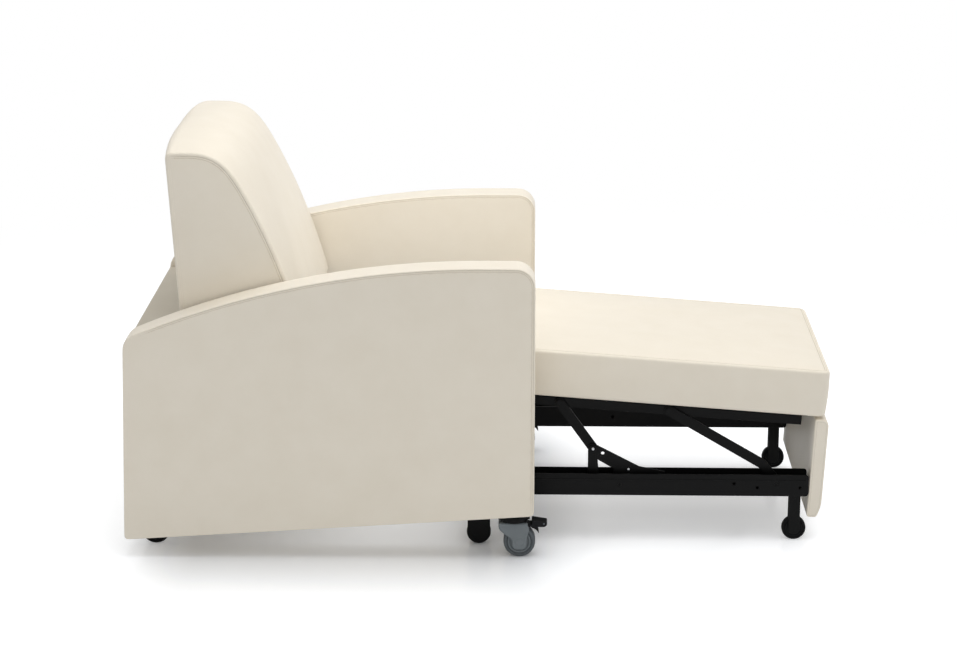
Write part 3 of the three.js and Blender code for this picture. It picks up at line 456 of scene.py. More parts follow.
def soft_edges(piece: Object, width: float, segments: int = 2) -> None:
    """Rounds a piece's hard edges.

    Args:
        piece: The object.
        width: Width of the round in metres.
        segments: Its steps.
    """
    add_modifier(
        piece,
        "BEVEL",
        width=width,
        segments=segments,
        limit_method="ANGLE",
        angle_limit=math.radians(35),
        use_clamp_overlap=True,
        miter_outer="MITER_ARC",
    )


def softened_node(node: str, finish: Finish, width: float) -> Object:
    """A merged copy of a CAD node with rounded edges, which stands for it.

    Args:
        node: The CAD node.
        finish: Its finish.
        width: Width of the edge rounds in metres.

    Returns:
        The new object.
    """
    shape = bmesh.new()
    shape.from_mesh(frame["nodes"][node].data)
    bmesh.ops.remove_doubles(shape, verts=shape.verts, dist=MERGE)
    bmesh.ops.dissolve_limit(
        shape, angle_limit=math.radians(0.6), use_dissolve_boundaries=False, verts=shape.verts, edges=shape.edges
    )
    piece = finished(shape, f"{node}_body", finish, body_of(node))
    soft_edges(piece, width)
    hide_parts(node)
    return piece


def turned(profile: Sequence[Point], centre: Vector, steps: int) -> BMesh:
    """Spins a profile about an axis along Y.

    Args:
        profile: Radius and place along the axis, in metres, from one end of the axis to the other or closed.
        centre: The spin's centre.
        steps: Number of steps round.

    Returns:
        The spun mesh.
    """
    shape = bmesh.new()
    verts = [shape.verts.new((centre.x + r, centre.y + y, centre.z)) for r, y in profile]
    edges = [shape.edges.new(pair) for pair in zip(verts, verts[1:])]
    bmesh.ops.spin(
        shape,
        geom=verts + edges,
        cent=centre,
        axis=(0, 1, 0),
        angle=math.tau,
        steps=steps,
        use_merge=True,
        use_duplicate=False,
    )
    bmesh.ops.remove_doubles(shape, verts=shape.verts, dist=MERGE)
    bmesh.ops.recalc_face_normals(shape, faces=shape.faces)
    return shape


def domed_head(place: Vector, radius: float, height: float, side: float, steps: int = 20) -> BMesh:
    """A domed rivet or bolt head whose flat face lies at a place and whose dome points along side.

    Args:
        place: Middle of the flat face.
        radius: Its radius.
        height: Height of the dome.
        side: 1 for +Y and -1 for -Y.
        steps: Steps round.

    Returns:
        The head.
    """
    angles = [math.radians(degrees) for degrees in (0, 18, 36, 54, 72)]
    arc = [(radius * math.cos(a), side * height * math.sin(a)) for a in angles]
    return turned([(0, 0), *arc, (0, side * height)], place, steps)


def turn_points(start: Point, corner: Point, end: Point, steps: int = 6) -> list[Point]:
    """A quadratic arc that rounds a corner.

    Args:
        start: Where the round begins.
        corner: The corner.
        end: Where it ends.
        steps: Its steps.

    Returns:
        Its points, with both ends.
    """
    a, b, c = Vector(start), Vector(corner), Vector(end)
    shares = [k / steps for k in range(steps + 1)]
    return [tuple(a * (1 - t) ** 2 + b * 2 * t * (1 - t) + c * t**2) for t in shares]


def curve_points(start: Point, leave: Point, arrive: Point, end: Point, steps: int) -> list[Point]:
    """A cubic curve.

    Args:
        start: Its start.
        leave: Handle of the start.
        arrive: Handle of the end.
        end: Its end.
        steps: Its steps.

    Returns:
        Its points, without the start.
    """
    a, b, c, d = Vector(start), Vector(leave), Vector(arrive), Vector(end)
    shares = [k / steps for k in range(1, steps + 1)]
    return [tuple(a * (1 - t) ** 3 + b * 3 * t * (1 - t) ** 2 + c * 3 * t**2 * (1 - t) + d * t**3) for t in shares]


def even_loop(points: Sequence[Point], spacing: float) -> list[Point]:
    """Divides the long stretches of a closed outline.

    Args:
        points: The outline.
        spacing: Longest stretch that stays whole, in metres.

    Returns:
        The outline with more points.
    """
    out: list[Point] = []
    for (x0, z0), (x1, z1) in zip(points, [*points[1:], points[0]]):
        pieces = max(1, round(math.hypot(x1 - x0, z1 - z0) / spacing))
        out += [(x0 + (x1 - x0) * k / pieces, z0 + (z1 - z0) * k / pieces) for k in range(pieces)]
    return out


def rounded_loop(corners: Sequence[tuple[float, float, float]], steps: int = 6) -> list[Point]:
    """A closed outline whose corners are turned with quadratic arcs.

    Args:
        corners: X, Z and turn of each corner, in metres.
        steps: Steps of each turn.

    Returns:
        The outline.
    """
    out: list[Point] = []
    for i, (x, z, turn) in enumerate(corners):
        here = Vector((x, z))
        back = Vector(corners[i - 1][:2]) - here
        ahead = Vector(corners[(i + 1) % len(corners)][:2]) - here
        reach = min(turn, back.length / 2, ahead.length / 2)
        out += turn_points(here + back.normalized() * reach, here, here + ahead.normalized() * reach, steps)
    return out


def shifted(points: Sequence[Point]) -> list[Point]:
    """A side view brought from the arms' front face to the part's frame."""
    return [(x + ORIGIN_SHIFT, z) for x, z in points]


def loop_distance(place: Point, loop: Sequence[Point]) -> float:
    """Shortest way from a place to a closed outline.

    Args:
        place: The place.
        loop: The outline.

    Returns:
        The distance in metres.
    """
    px, pz = place
    best = math.inf
    for (x0, z0), (x1, z1) in zip(loop, [*loop[1:], loop[0]]):
        dx, dz = x1 - x0, z1 - z0
        length = dx * dx + dz * dz
        t = 0.0 if length == 0 else max(0.0, min(1.0, ((px - x0) * dx + (pz - z0) * dz) / length))
        best = min(best, (px - x0 - t * dx) ** 2 + (pz - z0 - t * dz) ** 2)
    return math.sqrt(best)


# -------------------------------------------------------------------------------------------------- padded pieces


class Seam(Enum):
    """How a face panel is sewn to its band: steps of inset and rise in millimetres, and how deep in the seam each
    step lies, which sets the painted shade of its ring.
    """

    TOPSTITCHED = (
        (1.2, 0.2, 0.0),
        (1.0, -1.5, 1.0),
        (1.0, 1.5, 0.0),
        (2.2, 0.3, 0.0),
        (0.8, -0.8, 0.7),
        (0.8, 0.8, 0.0),
    )
    EDGE_STITCHED = (
        (0.4, 0.0, 0.0),
        (0.9, -1.2, 1.0),
        (0.9, 1.4, 0.0),
        (1.5, 0.2, 0.0),
        (0.8, -0.7, 0.7),
        (0.8, 0.7, 0.0),
    )
    WELTED = (
        (0.8, -1.3, 1.0),
        (0.8, 1.7, 0.0),
        (1.2, 0.5, 0.0),
        (1.2, -0.5, 0.0),
        (0.8, -1.6, 0.9),
        (0.8, 1.3, 0.0),
    )
    PLAIN = ((0.8, -0.6, 0.6), (0.8, 0.5, 0.0))
    NONE = ()


@dataclass
class BoxedPad:
    """A padded form: two face panels sewn to a band that runs round them."""

    name: str
    body: str
    stands_for: str
    outline: Sequence[Point]
    half: float
    place: Matrix
    roll: float = 6 * MM
    roll_steps: int = 4
    seam: Seam = Seam.TOPSTITCHED
    seam_share: Callable[[Vector], float] | None = None
    grid: float = 24 * MM
    band_step: float = 20 * MM
    face_crown: float = 2.5 * MM
    face_spread: float = 70 * MM
    band_crown: float = 1.0 * MM
    crown_at: Callable[[Vector, Vector], float] | None = None
    crown_power: float = 2.0
    pressure: float = 0.0
    cap: float = 12 * MM
    swell_frames: int = 20
    held: Callable[[Vector], bool] | None = None
    hold_level: float = 1.35
    hold_reach: float = 24 * MM
    pucker_reach: float = 16 * MM
    levels: int = 1
    fill: float = 0.85
    finish: Finish = field(default=Finish.VINYL)
    smooth_deg: float = 70
    stitch_length: float = 4.6 * MM
    stitch_pitch: float = 6.6 * MM
    thread: float = 0.75 * MM
    stitch_rows: list[list[Vector]] = field(default_factory=list)
    loop: list[Point] = field(init=False)
    shape: BMesh = field(init=False)

    def build(self) -> Object:
        """Makes the pad, swells it and dresses it.

        Returns:
            The pad.
        """
        self.loop = even_loop(self.outline, self.grid)
        self.shape = shape = bmesh.new()
        shape.verts.layers.float.new("groove")
        face = shape.faces.new([shape.verts.new((x, self.edge, z)) for x, z in self.loop])
        face.normal_update()
        if face.normal.y < 0:
            face.normal_flip()
        self.add_band()
        self.add_face_rings(face)
        self.add_face_grid(face)
        self.crown_face()
        bmesh.ops.mirror(
            shape, geom=[*shape.verts, *shape.edges, *shape.faces], matrix=Matrix(), merge_dist=1e-5, axis="Y"
        )
        bmesh.ops.remove_doubles(shape, verts=shape.verts, dist=MERGE)
        bmesh.ops.recalc_face_normals(shape, faces=shape.faces)
        self.crown_band()
        near = shape.verts.layers.float.new("seam")
        for vert in shape.verts:
            vert[near] = math.exp(-self.seam_distance(vert.co) / self.pucker_reach)
        holds = {v.index: self.hold(v.co) for v in shape.verts}
        for face in shape.faces:
            face.material_index = 0
        shape.transform(self.place)
        piece = finished(shape, self.name, self.finish, self.body, self.smooth_deg)
        if self.pressure:
            self.swell(piece, holds)
        if self.levels:
            add_modifier(piece, "SUBSURF", levels=self.levels, render_levels=self.levels)
        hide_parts(self.stands_for)
        self.add_stitches()
        return piece

    @property
    def edge(self) -> float:
        """Where the flat of the band ends, on either side of the middle plane."""
        return self.half - self.roll

    def add_stitches(self) -> None:
        """Sews a row of stitches in each topstitch line, on both faces."""
        if not self.stitch_rows:
            return
        shape = bmesh.new()
        for row in self.stitch_rows:
            for side in (1, -1):
                self.add_stitch_row(shape, [Vector((p.x, side * p.y, p.z)) for p in row])
        shape.transform(self.place)
        finished(shape, f"{self.name}_stitches", Finish.THREAD, self.body, 80)

    def add_stitch_row(self, shape: BMesh, row: Sequence[Vector]) -> None:
        """Lays stitches at an even pitch along a closed line, where its seam shows.

        Args:
            shape: The mesh that takes them.
            row: The line's points.
        """
        carried = 0.0
        size = Matrix.Diagonal((self.stitch_length / 2, self.thread, self.thread, 1))
        for start, end in zip(row, [*row[1:], row[0]]):
            reach = (end - start).length
            along = (end - start).normalized() if reach > 0 else Vector((1, 0, 0))
            turn = along.to_track_quat("X", "Z").to_matrix().to_4x4()
            while carried < reach:
                middle = start + along * carried
                if not self.seam_share or self.seam_share(middle) >= 0.5:
                    matrix = Matrix.Translation(middle) @ turn @ size
                    bmesh.ops.create_icosphere(shape, subdivisions=1, radius=1, matrix=matrix)
                carried += self.stitch_pitch
            carried -= reach

    def add_band(self) -> None:
        """Draws the outline's edges out to the middle plane."""
        steps = max(1, round(self.edge / self.band_step))
        edges = list(self.shape.edges)
        for _ in range(steps):
            out = bmesh.ops.extrude_edge_only(self.shape, edges=edges)["geom"]
            moved = [g for g in out if isinstance(g, bmesh.types.BMVert)]
            edges = [g for g in out if isinstance(g, bmesh.types.BMEdge)]
            bmesh.ops.translate(self.shape, verts=moved, vec=(0, -self.edge / steps, 0))
        for vert in {v for e in edges for v in e.verts}:
            vert.co.y = 0.0

    def add_face_rings(self, face: bmesh.types.BMFace) -> None:
        """Rolls the edge over to the face panel, presses the seam in and marks its rings for painted shade."""
        turns = self.roll_steps
        angles = [math.pi / 2 * k / turns for k in range(turns + 1)]
        rolled = [(self.roll * (1 - math.cos(a)), self.roll * math.sin(a)) for a in angles]
        steps = [(b[0] - a[0], b[1] - a[1], 0.0) for a, b in zip(rolled, rolled[1:])]
        steps += [(inset * MM, rise * MM, shade) for inset, rise, shade in self.seam.value]
        groove = self.shape.verts.layers.float["groove"]
        for number, (thickness, rise, shade) in enumerate(steps):
            bmesh.ops.inset_region(
                self.shape, faces=[face], thickness=thickness, depth=0.0, use_even_offset=True, use_boundary=True
            )
            for vert in face.verts:
                share = self.seam_share(vert.co) if self.seam_share and number >= turns else 1.0
                vert.co.y += rise * share
                # the groove weight darkens the vinyl here: painted shade in the seam
                vert[groove] = shade * share
            if self.seam in (Seam.TOPSTITCHED, Seam.EDGE_STITCHED) and 0 < shade < 1:
                self.stitch_rows.append([v.co + Vector((0, 0.5 * self.thread, 0)) for v in face.verts])

    def add_face_grid(self, face: bmesh.types.BMFace) -> None:
        """Cuts the face panel in a grid so that it can swell."""
        for other in self.shape.faces:
            other.material_index = 0
        face.material_index = 1
        for axis in (0, 1):
            values = [point[axis] for point in self.loop]
            low, high = min(values) + self.roll, max(values) - self.roll
            count = max(2, round((high - low) / self.grid))
            direction = Vector((1 - axis, 0, axis))
            for k in range(1, count):
                inner = [f for f in self.shape.faces if f.material_index == 1]
                geometry = {e for f in inner for e in f.edges} | {v for f in inner for v in f.verts} | set(inner)
                place = direction * (low + (high - low) * k / count)
                bmesh.ops.bisect_plane(
                    self.shape, geom=list(geometry), plane_co=place, plane_no=direction, dist=1e-5
                )

    def crown_face(self) -> None:
        """Lifts the face panel away from its seam."""
        rim = self.roll + sum(inset for inset, _, _ in self.seam.value) * MM
        for vert in {v for f in self.shape.faces if f.material_index == 1 for v in f.verts}:
            away = max(0.0, loop_distance((vert.co.x, vert.co.z), self.loop) - rim)
            share = min(1.0, away / self.face_spread)
            vert.co.y += self.face_crown * share * (2 - share)

    def crown_band(self) -> None:
        """Swells the band between its two seams."""
        self.shape.normal_update()
        moves: list[tuple[bmesh.types.BMVert, Vector]] = []
        for vert in self.shape.verts:
            if abs(vert.co.y) < self.edge - MERGE:
                across = 1 - abs(vert.co.y / self.edge) ** self.crown_power
                outward = Vector((vert.normal.x, 0, vert.normal.z)).normalized()
                amount = self.crown_at(vert.co, outward) if self.crown_at else self.band_crown
                moves.append((vert, outward * amount * across))
        for vert, move in moves:
            vert.co += move

    def seam_distance(self, place: Vector) -> float:
        """How far a point of the surface lies from the nearer seam, in metres."""
        within = self.edge - abs(place.y)
        return within if within > MERGE else loop_distance((place.x, place.z), self.loop)

    def hold(self, place: Vector) -> float:
        """How firmly a point is held while the pad swells, from 0 for free to 1 for fixed."""
        loose = self.hold_level - self.seam_distance(place) / self.hold_reach
        return 1.0 if self.held and self.held(place) else max(0.0, min(1.0, loose))

    def swell(self, piece: Object, holds: dict[int, float]) -> None:
        """Blows the pad up as cloth between its seams and keeps the result.

        Args:
            piece: The pad.
            holds: How firmly each vertex is held.
        """
        group = piece.vertex_groups.new(name="held")
        for index, weight in holds.items():
            group.add([index], weight, "REPLACE")
        cloth = piece.modifiers.new("Cloth", "CLOTH")
        settings = {
            "quality": 6,
            "mass": 0.3,
            "tension_stiffness": 18,
            "compression_stiffness": 18,
            "bending_stiffness": 1.2,
            "use_pressure": True,
            "uniform_pressure_force": self.pressure,
            "vertex_group_mass": "held",
        }
        for key, value in settings.items():
            setattr(cloth.settings, key, value)
        cloth.settings.effector_weights.gravity = 0.0
        cloth.point_cache.frame_start = 1
        cloth.point_cache.frame_end = self.swell_frames
        scene = bpy.context.scene
        for number in range(1, self.swell_frames + 1):
            scene.frame_set(number)
        swollen = piece.evaluated_get(bpy.context.evaluated_depsgraph_get())
        ends = [v.co.copy() for v in swollen.data.vertices]
        piece.modifiers.remove(cloth)
        scene.frame_set(1)
        farthest = 0.0
        for vert, end in zip(piece.data.vertices, ends):
            move = end - vert.co
            farthest = max(farthest, move.length)
            vert.co += move * min(1.0, self.cap / max(move.length, 1e-9))
        piece.vertex_groups.clear()
        log.info("%s swelled by up to %.1f mm", piece.name, farthest / MM)


@dataclass
class Shell:
    """The two arm panels, the rear panel between them and the cloth flap over its top."""

    depth: float = 902 * MM
    height: float = 661 * MM
    top_radius: float = 1960 * MM
    crest: float = 110 * MM
    rake: float = 18 * MM
    front_clearance: float = 102 * MM
    rear_clearance: float = 41 * MM
    front_turn: float = 42 * MM
    rear_turn: float = 24 * MM
    foot_turn: float = 11 * MM
    arm_thickness: float = 76 * MM
    arm_face_rise: float = 0.8 * MM  # the sewn edge stands this much above the arm's roll
    arm_middle: float = 362 * MM
    seam_rear_gap: float = 50 * MM
    seam_fade_up: float = 60 * MM
    seam_fade_ahead: float = 40 * MM
    rear_thickness: float = 28 * MM
    rear_top: float = 476 * MM
    rear_foot: float = 76 * MM
    rear_half: float = 323.7 * MM
    flap_front: float = 792 * MM
    flap_tuck: float = 1.5 * MM
    flap_half: float = 323 * MM
    flap_thickness: float = 3 * MM

    def underside(self, setback: float) -> float:
        """Height of an arm's underside at a setback."""
        fall = self.front_clearance - self.rear_clearance
        return self.front_clearance - fall * setback / self.depth

    def rear_at(self, height: float) -> float:
        """Setback of an arm's rear edge at a height."""
        rise = self.height - self.rear_clearance
        return self.depth - self.rake * (height - self.rear_clearance) / rise

    def top_at(self, setback: float) -> float:
        """Height of an arm's top at a setback."""
        centre = self.height - self.top_radius
        return centre + math.sqrt(self.top_radius**2 - (setback - self.crest) ** 2)

    def arm_loop(self) -> list[Point]:
        """Side view of an arm: underside, front, top and rear.

        Returns:
            The outline in the part's frame.
        """
        foot, turn, radius = self.foot_turn, self.front_turn, self.top_radius
        toe = self.underside(0)
        out = [(-self.depth + foot, self.underside(self.depth - foot))]
        out += turn_points((-foot, self.underside(foot)), (0, toe), (0, toe + foot))
        for a in (math.pi / 2 * k / 10 for k in range(11)):
            out.append((-turn + turn * math.cos(a), self.height - turn + turn * math.sin(a)))
        rear = self.rear_at(self.top_at(self.depth))
        upright = math.pi / 2
        last = upright + math.asin((rear - self.rear_turn - self.crest) / radius)
        for a in (upright + (last - upright) * k / 30 for k in range(1, 31)):
            out.append((-self.crest + radius * math.cos(a), self.height - radius + radius * math.sin(a)))
        shoulder = self.top_at(rear) - self.rear_turn
        out += turn_points(out[-1], (-rear, self.top_at(rear)), (-self.rear_at(shoulder), shoulder))[1:]
        heel = self.rear_clearance + foot
        out += turn_points((-self.rear_at(heel), heel), (-self.depth, self.rear_clearance), out[0])[:-1]
        return shifted(out)

    def arm_seam(self, place: Vector) -> float:
        """How much of an arm's seam shows: all at the top and front, none at the rear and the underside."""
        above = (place.z - self.front_clearance) / self.seam_fade_up
        ahead = (place.x - ORIGIN_SHIFT + self.depth - self.seam_rear_gap) / self.seam_fade_ahead
        return max(0.0, min(1.0, above, ahead))

    def add_arms(self) -> None:
        """Makes both arm panels."""
        for side, word in SIDES:
            BoxedPad(
                name=f"arm_{word}_pad",
                body="chair_frame",
                stands_for=f"arm_{word}",
                outline=self.arm_loop(),
                half=self.arm_thickness / 2 - self.arm_face_rise,
                place=Matrix.Translation((0, side * self.arm_middle, 0)),
                face_crown=0.2 * MM,
                band_step=13 * MM,
                band_crown=0.4 * MM,
                roll=2.2 * MM,
                seam=Seam.EDGE_STITCHED,
                seam_share=self.arm_seam,
                fill=0.95,
            ).build()

    def add_rear_panel(self) -> None:
        """Makes the panel that closes the rear."""
        foot, top = self.rear_at(self.rear_foot), self.rear_at(self.rear_top)
        turn = self.rear_thickness / 2
        corners = [
            (-foot, self.rear_foot, turn / 2),
            (-foot + self.rear_thickness, self.rear_foot, turn / 2),
            (-top + self.rear_thickness, self.rear_top, turn),
            (-top, self.rear_top, turn),
        ]
        BoxedPad(
            name="rear_panel_pad",
            body="chair_frame",
            stands_for="rear_panel",
            outline=shifted(rounded_loop(corners)),
            half=self.rear_half,
            place=Matrix(),
            roll=1.5 * MM,
            seam=Seam.NONE,
            face_crown=0.0,
            band_crown=0.0,
            band_step=30 * MM,
            fill=0.95,
        ).build()

    def add_rear_flap(self) -> None:
        """Lays the cloth flap over the rear panel's top and the gap behind the back cushion, in a darker vinyl that
        is painted shade.
        """
        rear, front, thick = self.rear_at(self.rear_top) - self.flap_tuck, self.flap_front, self.flap_thickness
        middle = Vector((ORIGIN_SHIFT - (rear + front) / 2, 0, self.rear_top + thick / 2))
        shape = bmesh.new()
        bmesh.ops.create_cube(shape, size=1)
        bmesh.ops.scale(shape, vec=(rear - front, 2 * self.flap_half, thick), verts=shape.verts)
        bmesh.ops.translate(shape, vec=middle, verts=shape.verts)
        # the flap's darker vinyl is painted shade, since the flap sits behind the back cushion
        flap = finished(shape, "rear_flap", Finish.REVERSE, "chair_frame")
        soft_edges(flap, 1.2 * MM, 3)

    def build(self) -> None:
        """Makes the shell's covers."""
        self.add_arms()
        self.add_rear_panel()
        self.add_rear_flap()


@dataclass
class Seat:
    """The boxed seat cushion, whose top and bottom panels are sewn to a band."""

    slope_deg: float = 4.2
    pivot: Vector = field(default_factory=lambda: Vector((56 * MM + ORIGIN_SHIFT, 0, 316 * MM)))
    reach: float = 589 * MM
    depth: float = 692 * MM
    half_width: float = 271 * MM
    bottom: float = 19.6 * MM
    thickness: float = 105 * MM
    corner_turn: float = 22 * MM
    rest_height: float = 8 * MM

    def rests(self, place: Vector) -> bool:
        """Tells whether a point of the cushion lies on the seat board."""
        return place.y < -self.thickness / 2 + self.rest_height

    def build(self) -> None:
        """Makes the cushion."""
        rear, wide, turn = self.reach - self.depth, self.half_width, self.corner_turn
        corners = [(rear, -wide, turn), (self.reach, -wide, turn), (self.reach, wide, turn), (rear, wide, turn)]
        middle = self.bottom + self.thickness / 2
        # The pad's own axes are X, thickness, Y: they turn to X, -Y, Z before the slope.
        upright = Matrix.Rotation(math.pi / 2, 4, "X")
        slope = Matrix.Rotation(math.radians(self.slope_deg), 4, "Y")
        BoxedPad(
            name="seat_cushion_pad",
            body="seat",
            stands_for="seat_cushion",
            outline=rounded_loop(corners, 8),
            half=self.thickness / 2,
            place=Matrix.Translation(self.pivot) @ slope @ Matrix.Translation((0, 0, middle)) @ upright,
            roll=7 * MM,
            seam=Seam.WELTED,
            grid=17 * MM,
            band_step=13 * MM,
            face_crown=3 * MM,
            face_spread=160 * MM,
            band_crown=1.5 * MM,
            pressure=2.2,
            cap=9 * MM,
            held=self.rests,
            fill=0.9,
        ).build()


@dataclass
class Back:
    """The wedge-shaped back, whose side panels are sewn to a band that wraps front, top and rear."""

    half: float = 310 * MM
    bottom: float = 470 * MM
    top: float = 892 * MM
    foot_front: float = 499 * MM
    foot_rear: float = 772 * MM
    head_rear: float = 798 * MM
    foot_turn: float = 16 * MM
    head_turn: float = 18 * MM
    # Setbacks and heights in millimetres that steer the front: two handles, the belly's end and the brow.
    front_steers: tuple[Point, ...] = ((530, 588), (566, 691), (620, 792), (656, 860))
    brow_setback: float = 681 * MM
    crest_setback: float = 745 * MM
    seam_rake: float = 0.063
    seam_rear_gap: float = 14 * MM
    seam_fade: float = 8 * MM
    seam_least: float = 0.15
    crown_height: float = 413 * MM
    crown_front: float = 8 * MM
    crown_head: float = 16 * MM
    crown_corner: float = 12 * MM
    crown_rear: float = 10 * MM
    held_below: float = 500 * MM

    def rear_at(self, height: float) -> float:
        """Setback of the rear edge at a height."""
        rake = (self.head_rear - self.foot_rear) / (self.top - self.bottom)
        return self.foot_rear + rake * (height - self.bottom)

    def loop(self) -> list[Point]:
        """Side view of the back: rear foot, front, head and rear.

        Returns:
            The outline in the part's frame.
        """
        foot, head, bottom, top = self.foot_turn, self.head_turn, self.bottom, self.top
        leave, arrive, belly, brow = [(-setback * MM, height * MM) for setback, height in self.front_steers]
        front = (-self.foot_front - foot / 6, bottom + foot)
        heel, low, high = (-self.foot_rear, bottom), bottom + foot, top - head
        out = turn_points((-self.rear_at(low), low), heel, (-self.foot_rear + foot, bottom))
        out += turn_points((-self.foot_front - foot, bottom), (-self.foot_front, bottom), front)
        out += curve_points(front, leave, arrive, belly, 20)
        out += curve_points(belly, brow, (-self.brow_setback, top), (-self.crest_setback, top), 12)
        rear = self.rear_at(top)
        out += turn_points((-rear + head, top), (-rear, top), (-self.rear_at(high), high))
        return shifted(out)

    def seam_share(self, place: Vector) -> float:
        """How much of the seam shows: little of it along the rear edge."""
        rear = ORIGIN_SHIFT - self.foot_rear - self.seam_rake * (place.z - self.bottom)
        return max(self.seam_least, min(1.0, (place.x - rear - self.seam_rear_gap) / self.seam_fade))

    def crown(self, point: Vector, outward: Vector) -> float:
        """Says how far the front, top and rear swell towards the middle and the head.

        Args:
            point: The point of the band.
            outward: Its direction out.

        Returns:
            The swelling in metres.
        """
        up = min(1.0, max(0.0, (point.z - self.bottom) / self.crown_height))
        ahead, above = max(0.0, outward.x), max(0.0, outward.z)
        front = self.crown_front * ahead * math.sqrt(up)
        head = self.crown_head * above * up
        corner = self.crown_corner * ahead * above
        rear = self.crown_rear * max(0.0, -outward.x) * up**2
        return front + head + corner + rear

    def is_held(self, place: Vector) -> bool:
        """Tells whether a point lies so low that it stays in place."""
        return place.z < self.held_below

    def build(self) -> None:
        """Makes the back cushion."""
        BoxedPad(
            name="back_cushion_pad",
            body="back",
            stands_for="back_cushion",
            outline=self.loop(),
            half=self.half,
            place=Matrix(),
            roll=6 * MM,
            seam=Seam.TOPSTITCHED,
            grid=17 * MM,
            band_step=18 * MM,
            face_crown=2 * MM,
            face_spread=90 * MM,
            crown_at=self.crown,
            crown_power=2.8,
            seam_share=self.seam_share,
            pressure=1.6,
            cap=8 * MM,
            held=self.is_held,
            fill=0.9,
        ).build()


@dataclass
class FrontBoard:
    """The padded board across the carriage's front."""

    lean_deg: float = 3
    thickness: float = 31 * MM
    tall: float = 229 * MM
    chamfer: float = 9 * MM
    edge_turn: float = 6 * MM
    belly_turn: float = 18 * MM
    half_width: float = 271 * MM
    rail_end: float = 612.3 * MM
    touch_height: float = 108 * MM
    foot: float = 59 * MM

    def build(self) -> None:
        """Makes the board."""
        lean = math.radians(self.lean_deg)
        thick, tall, chamfer, turn = self.thickness, self.tall, self.chamfer, self.edge_turn
        corners = [
            (0, 0, turn),
            (thick - chamfer, 0, turn),
            (thick, 3 * chamfer, self.belly_turn),
            (thick, tall - chamfer, turn),
            (thick - chamfer, tall, turn),
            (0, tall, turn),
        ]
        touch = self.rail_end - (self.touch_height - self.foot) * math.tan(lean) + ORIGIN_SHIFT
        BoxedPad(
            name="front_board_pad",
            body="carriage",
            stands_for="fascia_board",
            outline=rounded_loop(corners),
            half=self.half_width,
            place=Matrix.Translation((touch, 0, self.foot)) @ Matrix.Rotation(lean, 4, "Y"),
            roll=3.5 * MM,
            seam=Seam.PLAIN,
            grid=20 * MM,
            face_crown=0.0,
            band_crown=0.0,
            band_step=25 * MM,
            fill=0.95,
        ).build()


# ------------------------------------------------------------------------------------------------- steel and wheels


@dataclass
class SteelFrame:
    """The powder-coated carriage, links, seat frame and the tubes inside the shell."""

    edge: float = 0.9 * MM
    board_edge: float = 1.5 * MM
    single: tuple[str, ...] = (
        "carriage_cross_tube",
        "lower_cross_tube",
        "upper_cross_tube",
        "seat_cross_tube_rear",
        "seat_cross_tube_front",
    )
    paired: tuple[str, ...] = (
        "carriage_rail",
        "pivot_bracket",
        "front_leg",
        "rear_leg",
        "guide_channel",
        "caster_mount",
        "back_pivot_socket",
        "rear_fork",
        "seat_rail",
        "rear_link",
        "front_link",
        "hinge_plate",
    )

    def build(self) -> None:
        """Dresses every steel node with rounded edges and the powder coat."""
        for node in self.single:
            softened_node(node, Finish.STEEL, self.edge)
        for _, word in SIDES:
            for name in self.paired:
                softened_node(f"{name}_{word}", Finish.STEEL, self.edge)
        softened_node("seat_board", Finish.COVER, self.board_edge)


@dataclass
class Wheel:
    """A wheel with a rounded tread and a hub with raised rings."""

    name: str
    body: str
    stands_for: str
    centre: Vector
    radius: float
    width: float
    bore: float
    tread: Finish
    hub: Finish
    hub_share: float
    steps: int = 56

    def tread_profile(self) -> list[Point]:
        """Half section of the tread, from its inner edge round the running face.

        Returns:
            Radii and places along the axle, closed.
        """
        half, inner = self.width / 2, self.radius * self.hub_share
        turn = min(half * 0.75, self.radius * 0.16)
        out: list[Point] = [(inner, -half * 0.8), (self.radius - turn, -half)]
        for a in (math.pi / 2 * k / 5 for k in range(1, 6)):
            out.append((self.radius - turn + turn * math.sin(a), -half + turn * (1 - math.cos(a))))
        out += [(r, -y) for r, y in reversed(out)]
        return [*out, out[0]]

    def hub_profile(self) -> list[Point]:
        """Half section of the hub with its boss, dish and rim.

        Returns:
            Radii and places along the axle, closed.
        """
        half, outer = self.width / 2, self.radius * self.hub_share
        side = [
            (self.bore, -half * 0.98),
            (self.bore + outer * 0.2, -half * 0.98),
            (self.bore + outer * 0.26, -half * 0.86),
            (outer * 0.56, -half * 0.72),
            (outer * 0.8, -half * 0.76),
            (outer * 0.86, -half * 0.9),
            (outer * 0.96, -half * 0.92),
            (outer + 0.1 * MM, -half * 0.78),
        ]
        out = side + [(r, -y) for r, y in reversed(side)]
        return [*out, out[0]]

    def build(self) -> None:
        """Makes the tread and the hub."""
        shape = turned(self.tread_profile(), self.centre, self.steps)
        tread = finished(shape, f"{self.name}_tread", self.tread, self.body, 40)
        finished(turned(self.hub_profile(), self.centre, self.steps), f"{self.name}_hub", self.hub, self.body, 30)
        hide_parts(self.stands_for)


